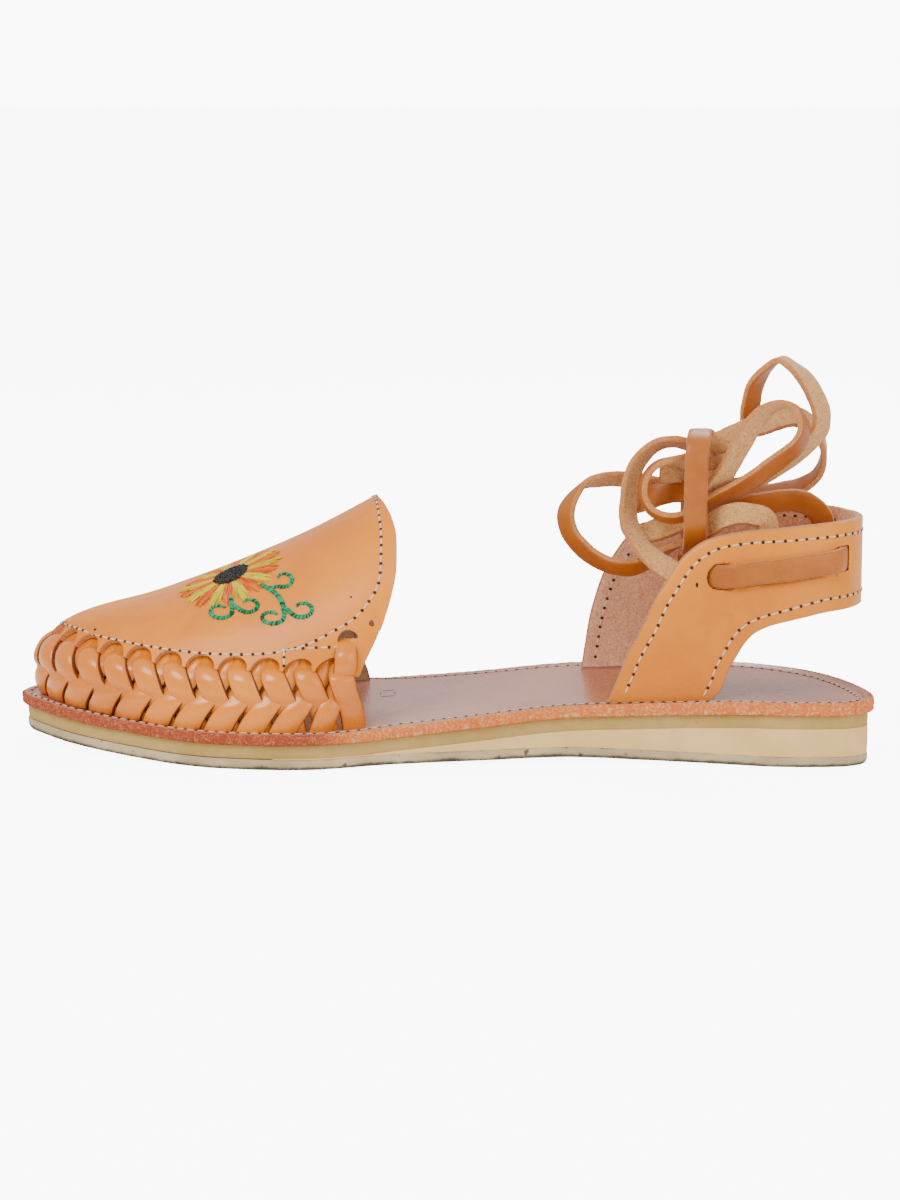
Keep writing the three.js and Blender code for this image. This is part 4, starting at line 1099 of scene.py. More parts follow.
@dataclass
class BandForm:
    """The surface that the heel band's outer face lies on."""

    bed: Footbed
    thickness: float = 2.2
    top: float = 49.7
    back_height: float = 25.0
    outer_reach: float = 73.0
    inner_reach: float = 81.0
    top_width: float = 41.0
    clear_of_edge: float = 2.6
    roundness: float = 2.4
    foot_inset: float = 4.2

    def __post_init__(self) -> None:
        """Find the band's back and the places of its feet."""
        self.back_x = self.bed.toe + self.bed.length - self.clear_of_edge
        self.feet = {side: self.edge_reach(side, self.back_x - 0.8 * self.reach(side)) - self.foot_inset
                     for side in (-1, 1)}

    def reach(self, side: int) -> float:
        """How far forward the band reaches on the outer (-1) or inner (1) side."""
        return self.outer_reach if side < 0 else self.inner_reach

    def edge_reach(self, side: int, x: float) -> float:
        """Reach of the footbed's edge to one side at a place along it."""
        turns = np.linspace(0.1, self.bed.heel_turn - 0.06, 1500) if side < 0 else \
            -np.linspace(0.1, 1 - self.bed.heel_turn - 0.06, 1500)
        points = self.bed.edge(turns, 0.0)
        return float(abs(np.interp(x, points[:, 0], points[:, 1])))

    def point(self, side: int, back: Array, rise: Array, out: Array | float) -> Array:
        """Points of the outer face moved out.

        Args:
            side: -1 for the outer side, 1 for the inner.
            back: places back along the band, 1 at its back.
            rise: places up the band as shares of its top height.
            out: how far out of the outer face.

        Returns:
            Points with a last axis of three.
        """
        back, rise, out = np.broadcast_arrays(np.asarray(back, float), np.asarray(rise, float), out)
        x = self.back_x - (1 - back) * self.reach(side)
        z = self.bed.insole_top(np.minimum(x, self.back_x)) + self.bed.seam + rise * self.top
        foot = self.feet[side]
        half = blend(foot, self.top_width / 2, np.maximum(rise, 0.0) ** 1.4)
        round_off = 1.15 * (self.top_width / 2 + foot) / 2
        u = np.clip((x - (self.back_x - round_off)) / round_off, 0.0, 1.0)
        v = np.maximum(1 - u**self.roundness, 0.0) ** (1 / self.roundness)
        normal = unit(np.stack((u ** (self.roundness - 1) / round_off,
                                side * v ** (self.roundness - 1) / half, np.zeros_like(u)), -1))
        return np.stack((x, side * half * v, z), -1) + normal * out[..., None]


@dataclass
class LaceForm:
    """A flat lace: its section and how it follows rows of x, y, z and width direction."""

    width: float = 6.6
    thickness: float = 1.8
    crown: float = 0.12

    def section(self) -> tuple[Array, list[int], Array]:
        """Corners of the section, the slot of each side, and each corner's mark.

        Returns:
            Offsets along the width and out of the grain side, slots with 0 for grain, 1 for
            flesh and 2 for the cut sides, and how near each corner is to the edge.
        """
        a, b = self.width / 2, self.thickness / 2
        rows = [(-a + 0.25, -b, 1), (-a / 2, -b, 1), (0, -b, 1), (a / 2, -b, 1), (a - 0.25, -b, 2),
                (a, -b + 0.3, 2), (a, b - 0.5, 2), (a - 0.15, b - 0.15, 0), (a - 0.55, b, 0),
                (a / 2, b + self.crown, 0), (0, b + self.crown, 0), (-a / 2, b + self.crown, 0),
                (-a + 0.55, b, 0), (-a + 0.15, b - 0.15, 2), (-a, b - 0.5, 2), (-a, -b + 0.3, 2)]
        corners = np.array([(w, n) for w, n, _ in rows])
        return corners, [slot for _, _, slot in rows], np.abs(corners[:, 0]) / a

    def follow(self, rows: Array, step: float = 0.8) -> tuple[Array, Array, Array]:
        """Centre line, width directions and grain directions along rows.

        Args:
            rows: x, y, z and width direction, one row a point.
            step: distance between two places.

        Returns:
            Points, width directions and grain directions at even steps.
        """
        rows = np.asarray(rows, float)
        fine = np.linspace(0.0, 1.0, 60 * (len(rows) - 1) + 1)
        path = spline(rows[:, :3], fine)
        wide = np.stack([np.interp(fine * (len(rows) - 1), np.arange(len(rows)), unit(rows[:, 3:])[:, i])
                         for i in range(3)], -1)
        lengths = np.concatenate(([0.0], np.cumsum(np.linalg.norm(np.diff(path, axis=0), axis=1))))
        places = np.linspace(0.0, lengths[-1], max(int(lengths[-1] / step), 4) + 1)
        path = np.stack([np.interp(places, lengths, path[:, i]) for i in range(3)], -1)
        wide = np.stack([np.interp(places, lengths, wide[:, i]) for i in range(3)], -1)
        soft = np.ones(5) / 5
        for i in range(3):
            padded = np.pad(wide[:, i], 2, mode="edge")
            wide[:, i] = np.convolve(padded, soft, mode="valid")
        ahead = directions(path)
        wide = unit(wide - ahead * np.sum(wide * ahead, axis=1, keepdims=True))
        return path, wide, np.cross(ahead, wide)

    def rings(self, rows: Array, seed: int, unevenness: float = 0.12) -> tuple[Array, Array, list[int], Array]:
        """Rings of the lace's body.

        Args:
            rows: as for follow.
            seed: which unevenness.
            unevenness: how much the cut edges wander.

        Returns:
            Rings, marks, slots of the ring's sides, and the centre line.
        """
        path, wide, grain = self.follow(rows)
        corners, slots, marks = self.section()
        places = np.arange(len(path)) * 0.8
        left = unevenness * wobble(places, 17.0, seed)
        right = unevenness * wobble(places, 13.0, seed + 1)
        shift = np.where(corners[None, :, 0] < 0, left[:, None], right[:, None])
        across = corners[None, :, 0] + shift * (np.abs(corners[None, :, 0]) > self.width / 2 - 1.0)
        rings = path[:, None] + wide[:, None] * across[..., None] + grain[:, None] * corners[None, :, 1, None]
        marks = np.stack(np.broadcast_arrays(marks[None, :], 0.5 + 0.5 * wobble(places, 60.0, seed)[:, None]), -1)
        return rings, marks, slots, path


@dataclass
class ThreadedLace:
    """The lace threaded through the band: a bar outside each side and a run inside the back."""

    band: BandForm
    lace: LaceForm
    bar_length: float = 38.0
    bar_from_back: float = 4.5
    bar_height: float = 39.3
    bar_slope: float = 0.13
    bend: float = 4.5

    def row(self, side: int, x: float, out: float) -> Row:
        """One row of the route."""
        back = 1 - (self.band.back_x - x) / self.band.reach(side)
        bar_back = self.band.back_x - self.bar_from_back
        rise = (self.bar_height - (bar_back - x) * self.bar_slope) / self.band.top
        place = self.band.point(side, back, rise, out)
        return (*place, 0.0, -side * 0.12, 1.0)

    def half(self, side: int) -> list[Row]:
        """Rows on one side, from the free end to the back."""
        seam = self.band.bed.seam
        outside = self.lace.thickness / 2 + seam
        inside = -self.band.thickness - self.lace.thickness / 2 - 2 * seam
        wall = -self.band.thickness / 2
        back = self.band.back_x - self.bar_from_back
        front = back - self.bar_length
        rows = [(front - self.bend, inside), (front, wall), (front + self.bend, outside)]
        rows += [(front + share * self.bar_length, outside) for share in (0.3, 0.5, 0.7)]
        rows += [(back - self.bend, outside), (back - 0.8, wall), (self.band.back_x - 1.5, inside)]
        return [self.row(side, x, out) for x, out in rows]

    def route(self) -> list[Row]:
        """Rows from the outer side's free end to the inner side's."""
        inside = -self.band.thickness - self.lace.thickness / 2 - 2 * self.band.bed.seam
        return [*self.half(-1), self.row(-1, self.band.back_x, inside), *reversed(self.half(1))]

    def lead(self, side: int) -> list[Row]:
        """The two rows with which a free lace carries on from an end of this one."""
        rows = self.half(side)
        first, second = np.array(rows[0][:3]), np.array(rows[1][:3])
        go = (first - second) / np.linalg.norm(first - second)
        return [(*(first + go * reach), *rows[0][3:]) for reach in (0.0, self.lace.thickness)]

    def build(self, palette: Palette) -> bpy.types.Object:
        """Make the threaded lace."""
        patches = Patches()
        rings, marks, slots, _ = self.lace.rings(np.array(self.route()), 3)
        patches.tube(rings, slots, marks, 2)
        piece = make_object("lace_in_band", patches, (palette.lace, palette.lace_flesh, palette.pale_cut), 50.0)
        return finish_piece(piece, "lace", "lace_threaded")


@dataclass
class FreeLace:
    """One free length of the lace, with its rows and the nodes that it stands for."""

    name: str
    lace: LaceForm
    rows: list[Row]
    nodes: tuple[str, ...]
    seed: int

    def build(self, palette: Palette) -> bpy.types.Object:
        patches = Patches()
        rings, marks, slots, path = self.lace.rings(np.array(self.rows), self.seed, 0.16)
        patches.tube(rings, slots, marks, 2)
        finishes = (palette.lace, palette.lace_flesh, palette.pale_cut)
        piece = make_object(self.name, patches, finishes, 50.0)
        finish_piece(piece, "lace", *self.nodes)
        return piece


OUTER_ROWS: tuple[Row, ...] = (
    (66, -16.5, 53.5, 0.4, 0.5, 0.8), (60, -11, 57, 0.7, 0.7, 0.3), (56, -7.5, 61, 0.7, 0.7, 0),
    (53.5, -5, 67, 0.7, 0.7, -0.2), (53.5, -4, 73, 0.6, 0.8, -0.1), (54.5, -3, 79, 0.6, 0.8, -0.1),
    (57, -2, 84, 0.5, 0.8, -0.3), (61.5, -2, 88, 0.3, 0.9, -0.4), (66.5, -2, 89, 0.1, 0.9, -0.4),
    (74, -2, 87.5, 0.1, 0.7, -0.5), (82, -3, 90, 0.4, -0.3, -0.8), (87, -3, 92.5, 0.4, -0.6, -0.7),
    (92.5, 0, 94, 0.4, -0.6, -0.7), (98.5, 3, 95.5, 0.3, -0.6, -0.7), (103.5, 6, 95, -0.1, -0.7, -0.7),
    (107.5, 7, 91.5, -0.3, -0.9, -0.2), (110, 8, 85.5, -0.1, -1, 0), (108.5, 9, 79, 0.2, -1, -0.1),
    (104.5, 9.5, 75.5, 0.2, -0.9, -0.4), (98.5, 9.5, 73.5, 0.1, -0.8, -0.6),
    (91.5, 9.5, 72.5, 0.1, -0.8, -0.6), (84.5, 9.5, 71.5, 0.2, -0.8, -0.6),
    (79.5, 10, 71, 0.7, -0.5, -0.3), (77, 11.5, 73, 1, 0, 0), (76.5, 13, 77, 1, 0, 0),
    (76, 12.5, 82.5, 1, 0, 0), (75.5, 8.5, 88.5, 1, 0, 0), (74.5, 0, 91.5, 1, 0, 0),
    (73.5, -8, 92, 1, 0, 0), (73, -14, 89.5, 1, 0, 0), (72.5, -16, 82.5, 1, 0, 0),
    (72.5, -16, 74, 1, 0, 0), (72.5, -15, 66, 1, 0, 0), (72.5, -9, 60, 1, 0, 0),
    (72.5, -1, 57, 1, 0, 0), (72.5, 7, 57.5, 1, 0, 0), (72, 11.5, 62, 1, 0, 0),
    (72, 12, 69, 0.9, 0.1, 0.2), (71.5, 9, 74.5, 0.9, 0.1, 0.5), (70.5, 3, 78.5, 0.5, 0.3, 0.8),
    (68, -2, 80.5, 0.1, 0.1, 1), (65.5, -4, 80.5, 0.1, 0, 1), (62.5, -5, 80.5, 0.1, 0, 1),
)

INNER_ROWS: tuple[Row, ...] = (
    (69.4, 18.2, 50.4, 0, 0, 1), (71.2, 16.6, 49.6, 0, 0, 1), (76, 16, 47.4, 0, 0.1, 1),
    (82, 16, 45.4, -0.1, 0.2, 1), (88, 15.5, 44.8, -0.2, 0.2, 1), (95.5, 15, 46.5, -0.4, 0.2, 0.9),
    (102.5, 14, 50.5, -0.5, 0.2, 0.8), (108, 12, 56, -0.8, 0.2, 0.6), (110.5, 10, 61.5, -1, 0.2, 0.2),
    (109, 7, 67, -0.9, 0.2, -0.5), (105, 5, 70.5, -0.4, 0.2, -0.9), (99, 3, 71.5, 0, 0.2, -1),
    (92, 2.5, 70.5, 0.1, 0.2, -1), (85.5, 2.5, 69.5, 0.2, 0.3, -0.9), (74, 2.5, 67, -0.1, 0.8, -0.1),
    (69.5, 1, 65.5, -0.4, 0.7, 0.5), (64, 0.5, 63.5, -0.2, 0.5, 0.8), (58, 1, 62, 0.1, 0.6, 0.8),
    (54, 2, 62.5, 0.4, 0.9, 0.2), (52, 3, 65.5, 0, 1, -0.2), (53, 3, 68.5, -0.2, 0.9, 0.3),
    (57, 2, 71, -0.1, 0.6, 0.8), (61.5, 0, 73, -0.2, 0.3, 0.9), (66, -1, 74.5, -0.2, 0.3, 0.9),
    (74, -5, 75, 0.4, 0.7, 0.3), (80, -9, 79.5, 0.7, 0.6, -0.4), (83, -9, 84.5, 0.7, 0.6, -0.4),
    (86, -9, 90, 0.7, 0.6, -0.4), (88.5, -9, 94.5, 0.6, 0.6, -0.4), (92, -9, 98.5, 0.4, 0.8, -0.5),
    (96.5, -9, 100.5, 0, 1, -0.3), (100.5, -9, 99.5, 0, 1, 0), (103, -9, 94, 0.4, 0.9, 0),
    (101.5, -9, 89, 0.5, 0.8, -0.4), (97.5, -9, 85.5, 0.4, 0.7, -0.6), (93.5, -9, 82.5, 0.4, 0.7, -0.6),
    (89, -9, 79, 0.4, 0.7, -0.6), (84, -9, 76, 0.4, 0.7, -0.6), (74, -9, 71, 0.25, 0.85, -0.45),
    (69.5, -10, 68.5, 0.1, 0.9, -0.4), (64, -10.5, 68, -0.1, 0.9, -0.4), (59.5, -10.5, 70.5, -0.2, 1, -0.2),
    (57.5, -10.5, 74.5, -0.2, 1, 0), (58, -10.5, 79, -0.1, 1, 0), (61, -10.5, 83, 0, 1, 0),
    (65, -10, 84.5, -0.1, 1, -0.1), (74, -4, 84, 0.2, 0.4, -0.7), (82.5, 3, 84.5, 0.7, -0.7, -0.2),
    (86, 5, 87.5, -0.1, -0.9, 0.5), (88, 6, 92, -0.7, -0.7, 0.1), (88.5, 5, 99, -0.8, -0.6, -0.1),
    (90, 3, 105.5, -0.7, -0.7, 0), (93, 1, 110, -0.4, -0.9, 0), (96.5, 0, 112.5, -0.3, -1, 0),
    (100, -1, 110.5, -0.2, -1, -0.2), (104, -1, 106.5, -0.5, -0.8, -0.3),
    (107, -1, 101.5, -0.6, -0.7, -0.3), (108.5, -1, 97, -0.7, -0.7, -0.1), (108, -1, 92.5, -0.7, -0.7, 0.3),
    (105, -1, 88.5, -0.5, -0.7, 0.5), (101, -1, 85, -0.4, -0.7, 0.6), (96, -1, 81.5, -0.4, -0.7, 0.6),
    (90.5, 0, 78, -0.5, -0.7, 0.5), (85, 2, 76, -0.5, -0.7, 0.5), (74, 7, 74.5, -0.25, -0.7, 0.6),
    (68.5, 10, 74.5, -0.1, -0.8, 0.6), (62.5, 10, 75, 0.1, -0.8, 0.6), (57, 9, 76, 0.3, -0.7, 0.6),
    (51, 7, 77, 0.3, -0.7, 0.6), (46, 5, 77, 0.2, -0.8, 0.6), (41, 3, 76, 0.2, -0.9, 0.4),
    (37.5, 1, 72.5, 0.4, -0.9, 0.1), (35.5, 0, 68, 0.7, -0.8, 0.1), (36.5, -1, 62.5, 0.6, -0.7, 0.4),
    (39.5, -2, 58.5, 0.4, -0.7, 0.6), (44, -3, 55, 0.2, -0.7, 0.7), (49, -4, 53, 0, -0.7, 0.7),
    (54, -4, 52.5, -0.1, -0.7, 0.7), (59.5, -3, 54, 0, -0.8, 0.6), (64, -2, 57, 0, -0.9, 0.4),
    (74, -4, 62.5, -0.15, -0.9, -0.3), (77.5, -9, 66, 0.4, -0.6, -0.7), (81, -11, 68.5, 0.4, -0.5, -0.8),
    (85, -11.5, 69.5, 0.1, -0.5, -0.9), (89, -11, 69, -0.3, -0.5, -0.8), (92, -10.5, 68, -0.6, -0.5, -0.6),
    (93.2, -10, 65, -0.9, -0.4, -0.1), (92.5, -9.5, 61.5, -0.9, -0.3, 0.3), (91, -9.5, 58, -0.9, -0.3, 0.4),
    (89, -10, 53.5, -0.9, -0.2, 0.5),
)


# Sole

@dataclass
class SoleLayer:
    """One rubber layer with softened edges."""

    name: str
    node: str
    bottom: Callable[[Array], Array]
    top: Callable[[Array], Array]
    soften: float
    roughness: float
    seed: int
    first: float = 0.0
    stations: int = 190

    def build(self, bed: Footbed, finish: bpy.types.Material) -> bpy.types.Object:
        """Make the layer."""
        share = 0.5 - 0.5 * np.cos(np.linspace(0.0, math.pi, self.stations + 1))
        share = blend(self.first, 1.0, share)
        sides = []
        for turn in (share * bed.heel_turn, 1 - share * (1 - bed.heel_turn)):
            rough = self.roughness * wobble(turn * 700.0, 9.0, self.seed)
            lines = []
            for inset, level in ((self.soften, 0.0), (0.25 * self.soften, 0.2), (0.0, 0.45),
                                 (0.12 * self.soften, 0.75), (0.6 * self.soften, 1.0)):
                point = bed.edge(turn, bed.overhang + inset + rough * (0.4 + 0.6 * level))
                low, high = self.bottom(point[:, 0]), self.top(point[:, 0])
                point[:, 2] = blend(low, high, level)
                lines.append(point)
            sides.append(lines)
        rings = np.stack([*sides[0], *reversed(sides[1])], axis=1)
        levels = np.array((0.0, 0.2, 0.45, 0.75, 1.0, 1.0, 0.75, 0.45, 0.2, 0.0))
        marks = np.stack(np.broadcast_arrays(levels[None, :], 0.0 * rings[..., 0]), -1)
        patches = Patches()
        patches.tube(rings, 0, marks, 0, caps=True)
        piece = make_object(self.name, patches, (finish,), 55.0)
        return piece


@dataclass
class Insole:
    """Leather insole with a curled rim, a glossy top and a rough cut edge."""

    bed: Footbed
    stations: int = 420

    def side_lines(self, turn: Array, seed: int) -> list[Array]:
        """Lines of one side, from the underside over the edge to the flat."""
        bed = self.bed
        rough = 0.3 * wobble(turn * 700.0, 7.0, seed) + 0.16 * wobble(turn * 700.0, 1.9, seed + 5)
        ragged = 0.24 * wobble(turn * 700.0, 3.1, seed + 9)
        lines = []
        for inset, level, curl, wander in ((0.5, 0.0, 0.0, 0.5), (0.05, 0.12, 0.0, 1.0), (0.12, 0.35, 0.1, 0.6),
                                           (0.0, 0.62, 0.5, 1.0), (0.1, 0.88, 0.9, 0.8), (0.5, 1.0, 1.0, 0.4),
                                           (1.3, 1.0, 0.55, 0.1), (bed.rim, 1.0, 0.0, 0.0)):
            point = bed.edge(turn, inset + rough * wander)
            x = point[:, 0]
            high = bed.insole_top(x) + curl * bed.curl * bed.wedge_share(bed.share(x))
            point[:, 2] = blend(bed.insole_bottom(x), high, level) + (ragged * wander if level > 0.3 else 0.0)
            lines.append(point)
        return lines

    def build(self, palette: Palette) -> bpy.types.Object:
        """Make the insole."""
        share = 0.5 - 0.5 * np.cos(np.linspace(0.0, math.pi, self.stations + 1))
        outer = self.side_lines(share * self.bed.heel_turn, 21)
        inner = self.side_lines(1 - share * (1 - self.bed.heel_turn), 22)
        across = []
        for part in np.linspace(0.0, 1.0, 12)[1:-1]:
            point = blend(outer[-1], inner[-1], part)
            point[:, 2] = self.bed.insole_top(point[:, 0]) - 0.35 * np.sin(math.pi * part)
            across.append(point)
        rings = np.stack([*outer, *across, *reversed(inner)], axis=1)
        edge = len(outer) - 1
        slots = [1] * (edge - 2) + [0] * (2 + len(across) + 1 + 2) + [1] * (edge - 2) + [2]
        patches = Patches()
        patches.tube(rings, slots, None, 1)
        piece = make_object("insole_leather", patches, (palette.footbed, palette.raw, palette.lining), 50.0)
        return finish_piece(piece, "insole", "insole")


# Vamp and plaited wall

class VampFace(Enum):
    """Material slots of the vamp."""

    GRAIN = 0
    LINING = 1
    EDGE = 2


@dataclass
class Vamp:
    """Domed leather shell with a scalloped lower edge."""

    dome: Dome
    weave: Weave
    rows: int = 44
    arc_steps: int = 12

    def low_lengths(self) -> Array:
        """Lengths of the columns, exact at every scallop."""
        half = self.weave.scallop_width / 2
        arc = half * np.sin(np.linspace(-math.pi / 2, math.pi / 2, self.arc_steps + 1))
        places = [0.0, self.dome.toe_length, self.dome.total]
        for slot in self.weave.slots:
            places.extend(slot + arc)
        places = sorted(places)
        filled = [places[0]]
        for before, place in zip(places, places[1:]):
            count = max(int(math.ceil((place - before) / 0.9)), 1)
            filled.extend(np.linspace(before, place, count + 1)[1:])
        kept = [filled[0]]
        for place in filled[1:]:
            if place - kept[-1] > 0.05:
                kept.append(place)
        return np.array(kept)

    def columns(self) -> tuple[Array, Array]:
        """Matching columns of the outer and the inner side, from the toe to the throat.

        Returns:
            Lengths of both sides' columns at the lower edge.
        """
        lengths = self.low_lengths()
        toe = self.dome.toe_length
        outer = np.append(lengths[lengths < toe - 0.2], toe)[::-1]
        inner = np.insert(lengths[lengths > toe + 0.2], 0, toe)
        while len(outer) != len(inner):
            short = outer if len(outer) < len(inner) else inner
            widest = int(np.argmax(np.abs(np.diff(short))))
            longer = np.insert(short, widest + 1, (short[widest] + short[widest + 1]) / 2)
            outer, inner = (longer, inner) if short is outer else (outer, longer)
        return outer, inner

    def grid(self) -> Array:
        """Points of the middle surface: column, place over the arch and coordinate."""
        outer, inner = self.columns()
        count = len(outer)
        even = np.linspace(0.0, 1.0, count)
        halves = []
        for side, low in ((-1, outer), (1, inner)):
            top = self.dome.length(side, even)
            start = self.dome.place(low, self.weave.edge_height(low))
            base = self.dome.place(low, np.full(count, self.weave.edge))
            climb = np.linspace(0.0, 1.0, self.rows + 1) ** 1.25
            t = blend(start[:, None], 1.0, climb[None, :])
            calm = blend(base[:, None], 1.0, climb[None, :])
            t = blend(t, calm, smooth_step(climb, 0.05, 0.3)[None, :])
            share = smooth_step(climb, 0.0, 0.9)[None, :]
            length = blend(low[:, None], top[:, None], share)
            halves.append(self.dome.middle(length, t))
        grid = np.concatenate((halves[0], halves[1][:, -2::-1]), axis=1)
        middle = self.rows
        for _ in range(30):
            for i in range(middle - 5, middle + 6):
                grid[:, i] += 0.3 * ((grid[:, i - 1] + grid[:, i + 1]) / 2 - grid[:, i])
        return grid

    def punch(self, cut: Patches, length: float, height: float, corners: Sequence[tuple[float, float]]) -> None:
        """Add a cutter through the wall.

        Args:
            cut: where it goes.
            length: its middle's place along the feather line.
            height: height of its middle above the foot.
            corners: its outline along and up the wall.
        """
        dome = self.dome
        t = dome.place(length, height)
        centre, out = dome.middle(length, t), dome.point(length, t, 1.0)
        normal = out - centre
        along = unit(dome.middle(length + 1.0, t) - dome.middle(length - 1.0, t))
        up = unit(np.cross(along, normal))
        up = up * np.sign(up[2])
        ring = np.array([centre + a * along + b * up for a, b in corners])
        cut.tube(np.stack([ring - 3.0 * normal, ring + 3.0 * normal]))

    def build(self, palette: Palette) -> bpy.types.Object:
        """Make the vamp with its strap slots and punched holes."""
        patches = Patches()
        patches.sheet(self.grid()[:, ::-1], 0)
        finishes = (palette.vamp, palette.lining, palette.pale_cut)
        piece = make_object("vamp_leather", patches, finishes, 180.0, orient=False)
        tidy = piece.modifiers.new("weld", "WELD")
        tidy.merge_threshold = 0.02 * MM
        solid = piece.modifiers.new("wall", "SOLIDIFY")
        solid.thickness = self.dome.vamp * MM
        solid.offset = 0.0
        solid.material_offset = 1
        solid.material_offset_rim = 2
        angles = np.linspace(0.0, 2.0 * math.pi, 17)[:-1]
        arch = [(3.0 * math.cos(a), 1.7 * math.sin(a) + 0.9 * math.sin(a) ** 2) for a in angles]
        drop = [(0.8 * math.cos(a), 0.95 * math.sin(a) * (1.0 - 0.35 * math.cos(a))) for a in angles]
        cut = Patches()
        tall = self.weave.strap_height
        for length in (self.weave.strap_reach, self.dome.total - self.weave.strap_reach):
            self.punch(cut, length, tall + 0.9, arch)
        for length in (3.2, self.dome.total - 3.2):
            self.punch(cut, length, tall + 4.6, drop)
        cutter = make_object("punches", cut, (palette.pale_cut,), 50.0)
        slit = piece.modifiers.new("punches", "BOOLEAN")
        slit.object = cutter
        slit.solver = "EXACT"
        slit.material_mode = "TRANSFER"
        settle(piece)
        bpy.data.objects.remove(cutter)
        piece.data.set_sharp_from_angle(angle=math.radians(55.0))
        return finish_piece(piece, "leather", "vamp")


